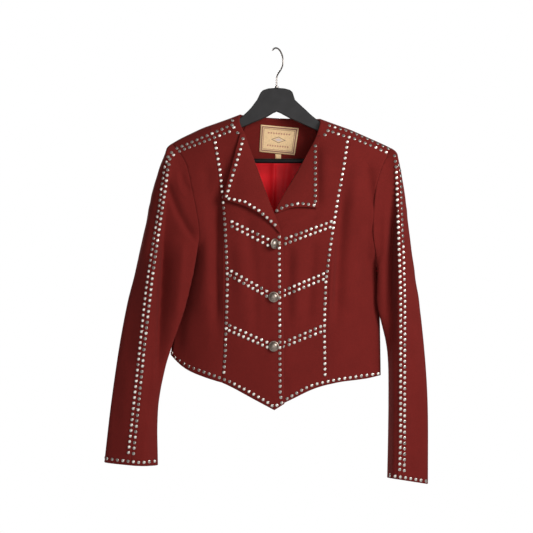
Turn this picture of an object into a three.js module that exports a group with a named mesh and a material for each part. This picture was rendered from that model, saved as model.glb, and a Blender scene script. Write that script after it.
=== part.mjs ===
// Western jacket hung on a hanger.
// Millimetres. Z is up and the front of the jacket looks along -Y.
// The origin is the inner top of the hook, where the hanger hangs.
// "right" and "left" are the wearer's, so the right half has negative X.

import * as THREE from 'three';

// Wall of each kind of cloth.
const WOOL = 2.0;
const SLEEVE_WOOL = 1.8;
const LAPEL_WOOL = 2.0;
const FACING_WOOL = 1.4;
const SATIN = 1.2;
const RIBBON = 0.9;

// Each edge at a seam stands back by half of the seam.
const HALF_SEAM = 0.22;
const ARMHOLE_SEAM = 0.5;

// Heights of the rows of the body: 0 hem, 10 underarm, 24 shoulder seam.
const ROWS = [0, 1.5, 3, 4.5, 6, 7.5, 9, 10, 11, 12, 13, 14, 15.5, 17, 18.5, 20, 21, 22, 23, 24];
const UNDERARM = 10;
const TOP = 24;

// Steps across each front panel, from the front edge and from the princess seam.
const CENTRE_STEPS = [0, 0.155, 0.32, 0.49, 0.66, 0.84, 1];
const SIDE_STEPS = [0, 0.06, 0.14, 0.26, 0.42, 0.6, 0.8, 1];
const NECK_STEPS = 8;

// Small helpers

const mix = (a, b, t) => a + (b - a) * t;
const mix3 = (a, b, t) => [mix(a[0], b[0], t), mix(a[1], b[1], t), mix(a[2], b[2], t)];
const add = (a, b) => [a[0] + b[0], a[1] + b[1], a[2] + b[2]];
const sub = (a, b) => [a[0] - b[0], a[1] - b[1], a[2] - b[2]];
const scale = (a, s) => [a[0] * s, a[1] * s, a[2] * s];
const dot = (a, b) => a[0] * b[0] + a[1] * b[1] + a[2] * b[2];
const clamp = (v, lo, hi) => Math.min(hi, Math.max(lo, v));

function cross(a, b) {
  return [a[1] * b[2] - a[2] * b[1], a[2] * b[0] - a[0] * b[2], a[0] * b[1] - a[1] * b[0]];
}

function unit(a) {
  const length = Math.hypot(a[0], a[1], a[2]) || 1;
  return scale(a, 1 / length);
}

function smooth(t) {
  const c = clamp(t, 0, 1);
  return c * c * (3 - 2 * c);
}

// A smooth curve through rows of [t, values...].
function along(table, t) {
  const last = table.length - 1;
  if (t <= table[0][0]) return table[0].slice(1);
  if (t >= table[last][0]) return table[last].slice(1);
  let i = 0;
  while (t > table[i + 1][0]) i += 1;
  const a = table[i];
  const b = table[i + 1];
  const before = table[Math.max(i - 1, 0)];
  const after = table[Math.min(i + 2, last)];
  const span = b[0] - a[0];
  const f = (t - a[0]) / span;
  const out = [];
  for (let c = 1; c < a.length; c += 1) {
    const slopeA = ((b[c] - before[c]) / (b[0] - before[0])) * span;
    const slopeB = ((after[c] - a[c]) / (after[0] - a[0])) * span;
    const f2 = f * f;
    const f3 = f2 * f;
    out.push((2 * f3 - 3 * f2 + 1) * a[c] + (f3 - 2 * f2 + f) * slopeA
      + (3 * f2 - 2 * f3) * b[c] + (f3 - f2) * slopeB);
  }
  return out;
}

// A straight-sided line through rows of [x, z].
function level(table, x) {
  const last = table.length - 1;
  if (x <= table[0][0]) return table[0][1];
  for (let i = 0; i < last; i += 1) {
    if (x <= table[i + 1][0]) {
      return mix(table[i][1], table[i + 1][1], (x - table[i][0]) / (table[i + 1][0] - table[i][0]));
    }
  }
  return table[last][1];
}

// Lines of the right front, as [row height, x, y, z].
const RIGHT = {
  edge: [
    [0, 14.5, -46, -705.8], [3, 13.8, -53, -623.1], [6, 13.4, -57, -532.6], [9, 13.0, -59, -438.3],
    [11, 9.8, -60, -375.6], [14, -13.1, -57, -312.8], [17, -36.7, -47, -247.4],
    [20, -59.6, -29, -183.9], [21, -65.4, -25, -167.8], [22, -71.5, -19, -156.5],
    [23, -76.0, -13, -143.0], [24, -72.0, 0, -132.4],
  ],
  princess: [
    [0, -108.7, -38, -664.1], [3, -105.9, -44, -603.9], [6, -102.8, -50, -520.9],
    [9, -101.6, -52, -442.3], [10, -102.5, -53, -410.8], [12, -105.9, -52, -359.7],
    [14, -109.5, -50, -314.4], [17, -115.0, -44, -257.1], [20, -122.9, -33, -205.0],
    [22, -130.2, -21, -174.0], [23, -132.6, -14, -162.5], [24, -134.0, 0, -154.9],
  ],
  side: [
    [0, -210.0, -2, -612.0], [3, -202.8, -3, -558.3], [6, -191.8, -4, -502.3],
    [9, -184.8, -4, -442.4], [10, -182.7, -5, -414.4], [11, -169.9, -22, -404.6],
    [12, -153.2, -40, -389.0], [14, -153.9, -47, -347.8], [17, -166.9, -43, -282.6],
    [20, -177.3, -33, -236.0], [22, -190.0, -22, -213.0], [23, -199.5, -13, -201.0],
    [24, -208.0, 0, -190.6],
  ],
  backArmhole: [
    [10, -182.7, -5, -414.4], [11, -176.0, 13, -404.0], [12, -163.0, 26, -388.0],
    [14, -152.0, 35, -345.0], [17, -162.0, 36, -282.0], [20, -182.0, 29, -238.0],
    [22, -195.0, 18, -214.0], [24, -208.0, 0, -190.6],
  ],
  hem: [
    [-210.0, -612.0], [-205.0, -622.0], [-191.5, -632.7], [-171.7, -643.6], [-138.0, -655.5],
    [-108.7, -664.1], [-87.3, -673.2], [-44.6, -696.6], [-4.6, -717.8], [14.5, -705.8],
  ],
  ridge: [[-208, -190.6], [-197, -183.4], [-147, -159.4], [-101, -143.4], [-72, -132.4]],
};

// Lines of the left front, which lies under the right one at the centre.
const LEFT = {
  edge: [
    [0, -23.0, -42, -703.0], [3, -23.0, -49, -623.3], [6, -22.9, -53, -532.7],
    [9, -23.9, -55, -438.3], [11, -20.0, -56, -369.7], [14, 5.1, -53, -310.6],
    [17, 40.1, -43, -250.1], [20, 74.8, -25, -188.4], [21, 80.0, -20, -175.0],
    [22, 85.5, -20, -159.0], [23, 88.0, -14, -148.0], [24, 86.5, 0, -141.0],
  ],
  princess: [
    [0, 101.4, -38, -668.2], [3, 99.2, -44, -603.9], [6, 99.6, -50, -520.9],
    [9, 102.8, -52, -452.1], [10, 107.7, -53, -418.7], [12, 115.6, -52, -369.6],
    [14, 121.6, -50, -326.2], [17, 131.7, -44, -270.8], [20, 141.4, -32, -211.0],
    [22, 147.3, -20, -181.0], [23, 149.0, -14, -171.0], [24, 150.0, 0, -164.0],
  ],
  side: [
    [0, 206.8, -2, -652.3], [3, 206.0, -3, -596.2], [6, 204.7, -4, -532.3],
    [9, 202.7, -4, -464.4], [10, 201.6, -5, -434.4], [11, 199.5, -20, -422.5],
    [12, 195.5, -34, -404.8], [14, 189.6, -42, -361.4], [17, 194.9, -42, -284.5],
    [20, 207.2, -31, -241.0], [22, 218.0, -20, -219.0], [23, 223.5, -12, -209.0],
    [24, 228.0, 0, -200.0],
  ],
  backArmhole: [
    [10, 201.6, -5, -434.4], [11, 199.0, 13, -420.0], [12, 190.0, 26, -402.0],
    [14, 183.0, 35, -358.0], [17, 189.0, 36, -290.0], [20, 206.0, 29, -246.0],
    [22, 218.0, 18, -223.0], [24, 228.0, 0, -200.0],
  ],
  hem: [
    [-23.0, -703.0], [-5.0, -713.0], [32.0, -695.8], [64.8, -678.8], [89.4, -670.1],
    [101.4, -668.2], [125.2, -662.8], [165.4, -658.9], [198.0, -655.6], [206.8, -652.3],
  ],
  ridge: [[86.5, -141.0], [115, -151.4], [149, -163.6], [193, -183.4], [220, -195.4], [228, -200]],
};

// Middle of the back, as [row height, y, z], and the back neck edge, as [x, y, z].
const BACK_MIDDLE = [
  [0, 38, -648], [3, 41, -592], [6, 44, -520], [9, 46, -448], [10, 46, -420], [12, 46, -372],
  [14, 45, -324], [17, 42, -264], [20, 37, -208], [22, 30, -167], [24, 20, -137.4],
];
const BACK_NECK = [
  [0, -72.0, 0, -132.4], [0.125, -63.0, 11.5, -133.2], [0.25, -42, 17, -134.6],
  [0.5, 4.0, 21, -137.4], [0.75, 54, 17.5, -138.8], [0.875, 77.0, 11.5, -140.0], [1, 86.5, 0, -141.0],
];

// Folds of the body. A push above zero sinks the cloth and one below zero lifts it.
const FRONT_FOLDS = [
  { x0: -112, z0: -315, x1: -112, z1: -560, wide: 8, push: 6 },
  { x0: -108, z0: -330, x1: -107, z1: -560, wide: 4, push: -1.5 },
  { x0: -125, z0: -256, x1: -117, z1: -362, wide: 11, push: 3.5 },
  { x0: -153, z0: -413, x1: -165, z1: -492, wide: 12, push: 4 },
  { x0: -137, z0: -394, x1: -145, z1: -512, wide: 12, push: -3 },
  { x0: -94, z0: -187, x1: -96, z1: -276, wide: 10, push: 3 },
  { x0: -58, z0: -338, x1: -46, z1: -420, wide: 12, push: 3 },
  { x0: -62, z0: -400, x1: -60, z1: -560, wide: 14, push: -2.5 },
  { x0: -18, z0: -655, x1: -5, z1: -690, wide: 8, push: 2 },
  { x0: 131, z0: -331, x1: 117, z1: -550, wide: 9, push: 5.5 },
  { x0: 109, z0: -400, x1: 106, z1: -530, wide: 8, push: -2.5 },
  { x0: 178, z0: -236, x1: 192, z1: -308, wide: 12, push: 4 },
  { x0: 154, z0: -262, x1: 154, z1: -330, wide: 14, push: -3 },
  { x0: 22, z0: -394, x1: 22, z1: -482, wide: 8, push: 2.5 },
  { x0: 44, z0: -394, x1: 40, z1: -540, wide: 10, push: -3 },
  { x0: 72, z0: -394, x1: 63, z1: -530, wide: 10, push: 3 },
  { x0: 15, z0: -365, x1: 76, z1: -322, wide: 8, push: -2 },
  { x0: 80, z0: -196, x1: 80, z1: -306, wide: 9, push: 3 },
  { x0: 96, z0: -206, x1: 97, z1: -270, wide: 12, push: -2 },
  { x0: 160, z0: -430, x1: 152, z1: -640, wide: 16, push: 3 },
];
const BACK_FOLDS = [
  { x0: -120, z0: -330, x1: -108, z1: -600, wide: 14, push: -4 },
  { x0: -60, z0: -400, x1: -70, z1: -640, wide: 16, push: 3 },
  { x0: -5, z0: -350, x1: 0, z1: -640, wide: 18, push: -3.5 },
  { x0: 70, z0: -380, x1: 62, z1: -640, wide: 16, push: 3.5 },
  { x0: 128, z0: -330, x1: 118, z1: -600, wide: 14, push: -4 },
  { x0: -150, z0: -300, x1: -120, z1: -420, wide: 12, push: -3.5 },
  { x0: 175, z0: -310, x1: 140, z1: -430, wide: 12, push: -3.5 },
];

function foldPush(folds, x, z) {
  let total = 0;
  for (const fold of folds) {
    const dx = fold.x1 - fold.x0;
    const dz = fold.z1 - fold.z0;
    const t = ((x - fold.x0) * dx + (z - fold.z0) * dz) / (dx * dx + dz * dz);
    const off = ((x - fold.x0) * -dz + (z - fold.z0) * dx) / Math.hypot(dx, dz);
    const across = Math.exp(-((off / fold.wide) ** 2));
    const length = smooth((t + 0.25) / 0.4) * smooth((1.25 - t) / 0.4);
    total += fold.push * across * length;
  }
  return total;
}

// Body

// Moves a row's height so that the hem and the shoulder follow their lines.
function settle(lines, point, straightHem, straightRidge, row) {
  const [x, y, z] = point;
  const hemPull = (1 - clamp(row / 6, 0, 1)) ** 2;
  const ridgePull = clamp(1 - (TOP - row) / 5, 0, 1) ** 1.5;
  const hemShift = (level(lines.hem, straightHem[0]) - straightHem[2]) * hemPull;
  const ridgeShift = (level(lines.ridge, straightRidge[0]) - straightRidge[2]) * ridgePull;
  return [x, y, z + hemShift + ridgeShift];
}

function frontCentre(lines) {
  return ROWS.map((row) => {
    const a = along(lines.edge, row);
    const b = along(lines.princess, row);
    return CENTRE_STEPS.map((u) => {
      const hem = mix3(along(lines.edge, 0), along(lines.princess, 0), u);
      const ridge = mix3(along(lines.edge, TOP), along(lines.princess, TOP), u);
      const point = mix3(a, b, u);
      const bulge = 3 * 4 * u * (1 - u) * (1 - smooth((row - 19) / 4));
      point[1] += foldPush(FRONT_FOLDS, point[0], point[2]) * (1 - smooth((row - 20) / 3)) - bulge;
      return settle(lines, point, hem, ridge, row);
    });
  });
}

function frontSide(lines) {
  return ROWS.map((row) => {
    const a = along(lines.princess, row);
    const b = along(lines.side, row);
    const round = 1 - 0.5 * smooth((row - 10) / 2);
    return SIDE_STEPS.map((u) => {
      const hem = mix3(along(lines.princess, 0), along(lines.side, 0), u);
      const ridge = mix3(along(lines.princess, TOP), along(lines.side, TOP), u);
      const point = mix3(a, b, u);
      const share = mix(1 - u, Math.cos((u * Math.PI) / 2) ** 0.8, round);
      point[1] = b[1] + (a[1] - b[1]) * share;
      const keep = (1 - smooth((row - 20) / 3)) * (1 - smooth((u - 0.75) / 0.25));
      point[1] += foldPush(FRONT_FOLDS, point[0], point[2]) * keep;
      return settle(lines, point, hem, ridge, row);
    });
  });
}

// Gives y of a grid at (x, z), or null beside it.
function depthAt(grid, x, z) {
  for (let r = 0; r + 1 < grid.length; r += 1) {
    for (let c = 0; c + 1 < grid[r].length; c += 1) {
      const corners = [grid[r][c], grid[r][c + 1], grid[r + 1][c + 1], grid[r + 1][c]];
      for (const [i, j, k] of [[0, 1, 2], [0, 2, 3]]) {
        const [p, q, s] = [corners[i], corners[j], corners[k]];
        const area = (q[0] - p[0]) * (s[2] - p[2]) - (s[0] - p[0]) * (q[2] - p[2]);
        if (Math.abs(area) < 1e-9) continue;
        const b = ((x - p[0]) * (s[2] - p[2]) - (s[0] - p[0]) * (z - p[2])) / area;
        const d = ((q[0] - p[0]) * (z - p[2]) - (x - p[0]) * (q[2] - p[2])) / area;
        if (b >= -1e-6 && d >= -1e-6 && b + d <= 1 + 1e-6) {
          return p[1] + b * (q[1] - p[1]) + d * (s[1] - p[1]);
        }
      }
    }
  }
  return null;
}

const join = (centre, side) => centre.map((row, r) => row.concat(side[r].slice(1)));

const rightCentre = frontCentre(RIGHT);
const rightSide = frontSide(RIGHT);
const leftCentre = frontCentre(LEFT);
const leftSide = frontSide(LEFT);

// The left front passes under the right one and stays clear of it.
const UNDER_CLEAR = 3.4;
for (const row of leftCentre) {
  for (const point of row) {
    let over = null;
    for (const shift of [0, 6, 12]) {
      const found = depthAt(rightCentre, point[0] - shift, point[2]);
      if (found !== null) {
        const ease = 1 - shift / 24;
        const wanted = mix(point[1], Math.max(point[1], found + UNDER_CLEAR), ease);
        over = over === null ? wanted : Math.max(over, wanted);
      }
    }
    if (over !== null) point[1] = over;
  }
}

const rightFront = join(rightCentre, rightSide);
const leftFront = join(leftCentre, leftSide);
const lastRow = ROWS.length - 1;

// Back, in one piece. Its top row is both shoulder seams and the back neck edge.
const neckLine = [];
for (let i = 1; i < NECK_STEPS; i += 1) {
  neckLine.push(along(BACK_NECK, i / NECK_STEPS));
}
const backTop = [...rightFront[lastRow]].reverse().concat(neckLine, leftFront[lastRow]);
const backSpan = backTop[backTop.length - 1][0] - backTop[0][0];
const JOIN_ROW = 17;

function backSides(row) {
  const table = row < UNDERARM ? 'side' : 'backArmhole';
  return [along(RIGHT[table], row), along(LEFT[table], row)];
}

function backBody(row, across) {
  const [right, left] = backSides(row);
  const [middleY, middleZ] = along(BACK_MIDDLE, row);
  const round = Math.abs(2 * across - 1);
  const bow = (1 - round ** 2.2) ** 0.7;
  const sideY = mix(right[1], left[1], across);
  const sideZ = mix(right[2], left[2], across);
  const sideX = mix(right[0], left[0], across);
  const drop = 1 - round ** 2;
  const z = mix(sideZ, middleZ, drop * 0.8);
  return [sideX, mix(sideY, middleY, bow), z];
}

const back = ROWS.map((row, r) => backTop.map((top, c) => {
  if (r === lastRow) return top;
  const [right, left] = backSides(row);
  if (c === 0) return right;
  if (c === backTop.length - 1) return left;
  const across = (top[0] - backTop[0][0]) / backSpan;
  let point = backBody(row, across);
  if (row > JOIN_ROW) {
    const start = backBody(JOIN_ROW, across);
    const s = (TOP - row) / (TOP - JOIN_ROW);
    const rise = Math.sin((s * Math.PI) / 2) ** 0.55;
    point = [mix(top[0], start[0], s), mix(top[1], start[1], rise), mix(top[2], start[2], s)];
  }
  const edge = smooth(Math.min(across, 1 - across) / 0.12);
  point[1] -= foldPush(BACK_FOLDS, point[0], point[2]) * edge * (1 - smooth((row - 18) / 5));
  return point;
}));

// Sleeves
// Each station is a ring round the arm. "out" is the outer edge, "seam" the seam between the
// stud rows, "crease" the trough beside it, "in" the inner edge and "arm" the underarm seam.
// A ring with a "rise" is a cuff: cut straight from its inner to its outer edge, and higher by
// that at the front.
const RIGHT_STATIONS = [
  { zOut: -236, zIn: -436, xOut: -243, xSeam: -216, xCrease: -203, xIn: -157, xArm: -199,
    yFront: -36, yTrough: -43, yLobe: -47, yIn: -39, yOut: -2, yBack: 36, yArm: -8 },
  { zOut: -310, zIn: -474, xOut: -259, xSeam: -227, xCrease: -220, xIn: -165, xArm: -204,
    yFront: -46, yTrough: -37, yLobe: -44, yIn: -36, yOut: -4, yBack: 38, yArm: -6 },
  { zOut: -420, zIn: -535, xOut: -284, xSeam: -243.5, xCrease: -229, xIn: -182, xArm: -212,
    yFront: -50, yTrough: -29, yLobe: -41, yIn: -34, yOut: -6, yBack: 34, yArm: -5 },
  { zOut: -560, zIn: -615, xOut: -311, xSeam: -261, xCrease: -238, xIn: -213, xArm: -228,
    yFront: -49, yTrough: -33, yLobe: -36, yIn: -28, yOut: -10, yBack: 24, yArm: -2 },
  { zOut: -700, zIn: -722, xOut: -331, xSeam: -275.5, xCrease: -253, xIn: -236.5, xArm: -243,
    yFront: -42, yTrough: -37, yLobe: -27, yIn: -9, yOut: -14, yBack: 14, yArm: 3 },
  { zOut: -824.4, zIn: -830.7, xOut: -345, xSeam: -288.5, xCrease: -262, xIn: -236.5, xArm: -243,
    yFront: -40, yTrough: -37, yLobe: -27, yIn: -10, yOut: -15, yBack: 11, yArm: 3, rise: 0 },
];
const LEFT_STATIONS = [
  { zOut: -244, zIn: -452, xOut: 253, xSeam: 238, xCrease: 229, xIn: 204.5, xArm: 214,
    yFront: -34, yTrough: -37, yLobe: -38, yIn: -24, yOut: -2, yBack: 35, yArm: 4 },
  { zOut: -310, zIn: -482, xOut: 262, xSeam: 242.4, xCrease: 232, xIn: 204, xArm: 215,
    yFront: -43, yTrough: -27, yLobe: -29, yIn: -21, yOut: -4, yBack: 36, yArm: 7 },
  { zOut: -420, zIn: -536, xOut: 277, xSeam: 246, xCrease: 229.5, xIn: 203.5, xArm: 216,
    yFront: -47, yTrough: -21, yLobe: -27, yIn: -20, yOut: -6, yBack: 33, yArm: 8 },
  { zOut: -560, zIn: -604, xOut: 293, xSeam: 248, xCrease: 231, xIn: 221, xArm: 228,
    yFront: -46, yTrough: -32, yLobe: -23, yIn: -9, yOut: -8, yBack: 27, yArm: 9 },
  { zOut: -700, zIn: -716, xOut: 303, xSeam: 248, xCrease: 234, xIn: 223.5, xArm: 230,
    yFront: -42, yTrough: -37, yLobe: -26, yIn: -7, yOut: -10, yBack: 22, yArm: 10 },
  { zOut: -869.6, zIn: -856.7, xOut: 303.5, xSeam: 246, xCrease: 231, xIn: 221, xArm: 228,
    yFront: -40, yTrough: -35, yLobe: -25, yIn: -7, yOut: -10, yBack: 21, yArm: 10, rise: 4.5 },
];
const AROUND = 24;
const SEAM_STEP = 12;
const RINGS_PER_STATION = [2, 2, 3, 3, 3, 3, 3];
const HEAD_SHARE = 0.5;

function ringOf(station) {
  const s = station;
  const back1 = mix(s.xOut, s.xArm, 0.42);
  const back2 = mix(s.xOut, s.xArm, 0.86);
  const keys = [
    [0, s.xArm, s.yArm], [2, s.xIn, s.yIn], [5, mix(s.xIn, s.xCrease, 0.52), s.yLobe],
    [8, s.xCrease, s.yTrough], [10, mix(s.xCrease, s.xSeam, 0.45), mix(s.yTrough, s.yFront, 0.8)],
    [12, s.xSeam, s.yFront], [15, s.xOut, s.yOut], [18, back1, s.yBack], [21, back2, s.yBack * 0.72],
  ];
  const before = keys.slice(-2).map(([k, x, y]) => [k - AROUND, x, y]);
  const after = keys.slice(0, 2).map(([k, x, y]) => [k + AROUND, x, y]);
  const loop = [...before, ...keys, ...after];
  const ring = [];
  for (let k = 0; k <= AROUND; k += 1) {
    const [x, y] = along(loop, k);
    const raise = 0.5 - 0.5 * Math.cos((2 * Math.PI * k) / AROUND);
    const out = clamp((x - s.xIn) / (s.xOut - s.xIn), 0, 1);
    const cuff = mix(s.zIn, s.zOut, out) + (s.rise * y) / s.yFront;
    ring.push([x, y, s.rise === undefined ? mix(s.zIn, s.zOut, raise) : cuff]);
  }
  ring[AROUND] = ring[0].slice();
  return ring;
}

function sleeve(front, lines, stations, side) {
  const firstArm = ROWS.indexOf(UNDERARM);
  const armhole = [];
  for (let r = firstArm; r <= lastRow; r += 1) {
    armhole.push(front[r][front[r].length - 1]);
  }
  for (let r = lastRow - 1; r > firstArm; r -= 1) {
    armhole.push(along(lines.backArmhole, ROWS[r]));
  }
  armhole.push(armhole[0].slice());
  const rings = stations.map(ringOf);
  const head = armhole.map((point, k) => {
    const crown = Math.max(0, Math.cos(((k - 13.5) * Math.PI) / 9));
    const belly = 1 - crown;
    const middle = mix3(point, rings[0][k], HEAD_SHARE);
    return add(middle, [side * (9 * crown + 1 * belly), 0, 11 * crown]);
  });
  head[AROUND] = head[0].slice();
  const all = [armhole, head, ...rings];
  const grid = [];
  for (let s = 0; s + 1 < all.length; s += 1) {
    const steps = RINGS_PER_STATION[s];
    for (let i = 0; i < steps; i += 1) {
      const t = s + i / steps;
      grid.push(armhole.map((_, k) => along(all.map((ring, n) => [n, ...ring[k]]), t)));
    }
  }
  grid.push(rings[rings.length - 1]);
  return grid;
}

const rightSleeve = sleeve(rightFront, RIGHT, RIGHT_STATIONS, -1);
const leftSleeve = sleeve(leftFront, LEFT, LEFT_STATIONS, 1);
const columns = (grid, from, to) => grid.map((row) => row.slice(from, to + 1));

// Walls

const keyOf = (p) => p.map((v) => Math.round(v * 100 + 0.213)).join(',');

// Adds the directions of a grid's faces to its points. "turn" is 1 or -1 so that they look out.
function gatherNormals(store, grid, turn) {
  const note = (point, normal, weight) => {
    const key = keyOf(point);
    if (!store.has(key)) store.set(key, []);
    store.get(key).push([normal, weight]);
  };
  for (let r = 0; r + 1 < grid.length; r += 1) {
    for (let c = 0; c + 1 < grid[r].length; c += 1) {
      const quad = [grid[r][c], grid[r][c + 1], grid[r + 1][c + 1], grid[r + 1][c]];
      const normal = unit(scale(cross(sub(quad[2], quad[0]), sub(quad[3], quad[1])), turn));
      for (let i = 0; i < 4; i += 1) {
        const a = unit(sub(quad[(i + 1) % 4], quad[i]));
        const b = unit(sub(quad[(i + 3) % 4], quad[i]));
        note(quad[i], normal, Math.acos(clamp(dot(a, b), -1, 1)));
      }
    }
  }
}

const MITRE_LIMIT = 1.5;

function offsetAt(store, point) {
  const faces = store.get(keyOf(point));
  let sum = [0, 0, 0];
  for (const [normal, weight] of faces) sum = add(sum, scale(normal, weight));
  const direction = unit(sum);
  let closest = 1;
  for (const [normal] of faces) closest = Math.min(closest, dot(normal, direction));
  return scale(direction, Math.min(MITRE_LIMIT, 1 / Math.max(closest, 0.3)));
}

// Turns a grid into a closed wall. Edges named in "seams" stand back from the line they share.
function wall(grid, thick, store, turn, seams) {
  const rows = grid.length;
  const cols = grid[0].length;
  const outer = [];
  const inner = [];
  for (let r = 0; r < rows; r += 1) {
    outer.push([]);
    inner.push([]);
    for (let c = 0; c < cols; c += 1) {
      const point = grid[r][c];
      const offset = offsetAt(store, point);
      let moved = point;
      const pull = (towards, beside, distance = HALF_SEAM) => {
        const inside = sub(towards, point);
        const normal = unit(offset);
        const edge = unit(beside);
        let step = sub(inside, scale(normal, dot(inside, normal)));
        step = sub(step, scale(edge, dot(step, edge)));
        moved = add(moved, scale(unit(step), distance));
      };
      const up = grid[Math.min(r + 1, rows - 1)][c];
      const down = grid[Math.max(r - 1, 0)][c];
      const next = grid[r][Math.min(c + 1, cols - 1)];
      const prior = grid[r][Math.max(c - 1, 0)];
      if (c === 0 && seams.includes('first')) pull(next, sub(up, down));
      if (c === cols - 1 && seams.includes('last')) pull(prior, sub(up, down));
      if (r === 0 && seams.includes('armhole')) pull(up, sub(next, prior), ARMHOLE_SEAM);
      if (r === rows - 1 && seams.includes('top')) pull(down, sub(next, prior));
      outer[r].push(add(moved, scale(offset, thick / 2)));
      inner[r].push(sub(moved, scale(offset, thick / 2)));
    }
  }
  const triangles = [];
  const quad = (a, b, c, d) => {
    const cutAC = Math.hypot(...sub(a, c)) <= Math.hypot(...sub(b, d));
    if (cutAC) triangles.push([a, b, c], [a, c, d]);
    else triangles.push([a, b, d], [b, c, d]);
  };
  const lay = (a, b, c, d, way) => (way > 0 ? quad(a, b, c, d) : quad(a, d, c, b));
  for (let r = 0; r + 1 < rows; r += 1) {
    for (let c = 0; c + 1 < cols; c += 1) {
      lay(outer[r][c], outer[r][c + 1], outer[r + 1][c + 1], outer[r + 1][c], turn);
      lay(inner[r][c], inner[r][c + 1], inner[r + 1][c + 1], inner[r + 1][c], -turn);
    }
  }
  for (let c = 0; c + 1 < cols; c += 1) {
    lay(inner[0][c], inner[0][c + 1], outer[0][c + 1], outer[0][c], turn);
    lay(outer[rows - 1][c], outer[rows - 1][c + 1], inner[rows - 1][c + 1], inner[rows - 1][c], turn);
  }
  for (let r = 0; r + 1 < rows; r += 1) {
    lay(inner[r][0], outer[r][0], outer[r + 1][0], inner[r + 1][0], turn);
    lay(outer[r][cols - 1], inner[r][cols - 1], inner[r + 1][cols - 1], outer[r + 1][cols - 1], turn);
  }
  return triangles;
}

function meshOf(name, triangles, colour, rough, metal) {
  const numbers = new Float32Array(triangles.length * 9);
  triangles.forEach((triangle, t) => {
    triangle.forEach((point, i) => numbers.set(point, t * 9 + i * 3));
  });
  const geometry = new THREE.BufferGeometry();
  geometry.setAttribute('position', new THREE.BufferAttribute(numbers, 3));
  geometry.computeVertexNormals();
  const material = new THREE.MeshStandardMaterial({ color: colour, roughness: rough, metalness: metal });
  material.name = `${name}_material`;
  const mesh = new THREE.Mesh(geometry, material);
  mesh.name = name;
  return mesh;
}

const BURGUNDY = 0x701c1e;
const RED_SATIN = 0xb41c26;
const CREAM = 0xebc896;
const CHARCOAL = 0x2b2828;
const CHROME = 0xc8c8cc;
const PEWTER = 0x96877d;

const jacket = new THREE.Group();
jacket.name = 'western_jacket_on_hanger';

const cloth = new Map();
gatherNormals(cloth, rightFront, -1);
gatherNormals(cloth, leftFront, 1);
gatherNormals(cloth, back, -1);
gatherNormals(cloth, rightSleeve, 1);
gatherNormals(cloth, leftSleeve, -1);

const shoulder = ['first', 'last', 'top'];
const body = [
  ['front_centre_right', rightCentre, -1, ['last', 'top']],
  ['front_side_right', rightSide, -1, shoulder],
  ['front_centre_left', leftCentre, 1, ['last', 'top']],
  ['front_side_left', leftSide, 1, shoulder],
  ['back', back, -1, shoulder],
];
for (const [name, grid, turn, seams] of body) {
  jacket.add(meshOf(name, wall(grid, WOOL, cloth, turn, seams), BURGUNDY, 0.85, 0));
}

const armSeams = ['first', 'last', 'armhole'];
const sleeves = [
  ['sleeve_right_front', columns(rightSleeve, 0, SEAM_STEP), 1],
  ['sleeve_right_back', columns(rightSleeve, SEAM_STEP, AROUND), 1],
  ['sleeve_left_front', columns(leftSleeve, 0, SEAM_STEP), -1],
  ['sleeve_left_back', columns(leftSleeve, SEAM_STEP, AROUND), -1],
];
for (const [name, grid, turn] of sleeves) {
  jacket.add(meshOf(name, wall(grid, SLEEVE_WOOL, cloth, turn, armSeams), BURGUNDY, 0.85, 0));
}

// Pieces that lie on a panel are made from its points, moved out or in.

function lone(name, grid, thick, turn, colour, rough) {
  const store = new Map();
  gatherNormals(store, grid, turn);
  jacket.add(meshOf(name, wall(grid, thick, store, turn, []), colour, rough, 0));
}

// Outer edges of the lapels, as [share of the length, x, z]. The tip stands at 0.5.
const LAPEL_RIGHT_EDGE = [
  [0, -71.5, -171.5], [0.25, -88.8, -235.8], [0.5, -106.6, -303.5],
  [0.6, -79.7, -311.6], [0.7, -55.8, -318.9], [0.85, -21.0, -339.9], [1, 5.5, -370.0],
];
const LAPEL_LEFT_EDGE = [
  [0, 87.0, -175.0], [0.15, 80.5, -198.0], [0.3, 80.6, -240.0], [0.5, 82.0, -321.0],
  [0.7, 48.0, -318.1], [0.85, 23.7, -320.6], [1, 3.5, -330.0],
];
const LAPEL_ROWS = 12;
const LAPEL_STEPS = [0, 0.1, 0.28, 0.52, 0.78, 1];

function lapel(front, lines, edgeTable, bottomRow) {
  const grid = [];
  for (let i = 0; i <= LAPEL_ROWS; i += 1) {
    const share = i / LAPEL_ROWS;
    const roll = along(lines.edge, mix(20.8, bottomRow, share));
    let edge = level(edgeTable.map(([t, x]) => [t, x]), share);
    let edgeZ = level(edgeTable.map(([t, , z]) => [t, z]), share);
    grid.push(LAPEL_STEPS.map((u) => {
      const x = mix(roll[0], edge, u);
      const z = mix(roll[2], edgeZ, u);
      const under = depthAt(front, x, z) ?? roll[1];
      const wide = smooth(Math.abs(edge - roll[0]) / 50);
      const lift = 2.6 + 1.6 * u + 4.0 * wide * Math.sin(Math.PI * Math.min(1, u * 1.15));
      return [x, under - lift, z];
    }));
  }
  return grid;
}

const lapelRight = lapel(rightFront, RIGHT, LAPEL_RIGHT_EDGE, 11.25);
const lapelLeft = lapel(leftFront, LEFT, LAPEL_LEFT_EDGE, 13.25);
lone('lapel_right', lapelRight, LAPEL_WOOL, -1, BURGUNDY, 0.85);
lone('lapel_left', lapelLeft, LAPEL_WOOL, 1, BURGUNDY, 0.85);

// A flat-lying piece inside the back, set in from it by "inset".
function insideBack(rows, steps, corner, inset) {
  const grid = [];
  for (let i = 0; i <= rows; i += 1) {
    const line = [];
    for (let j = 0; j <= steps; j += 1) {
      const [x, z] = corner(i / rows, j / steps);
      line.push([x, (depthAt(back, x, z) ?? 20) - inset, z]);
    }
    grid.push(line);
  }
  return grid;
}

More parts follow.
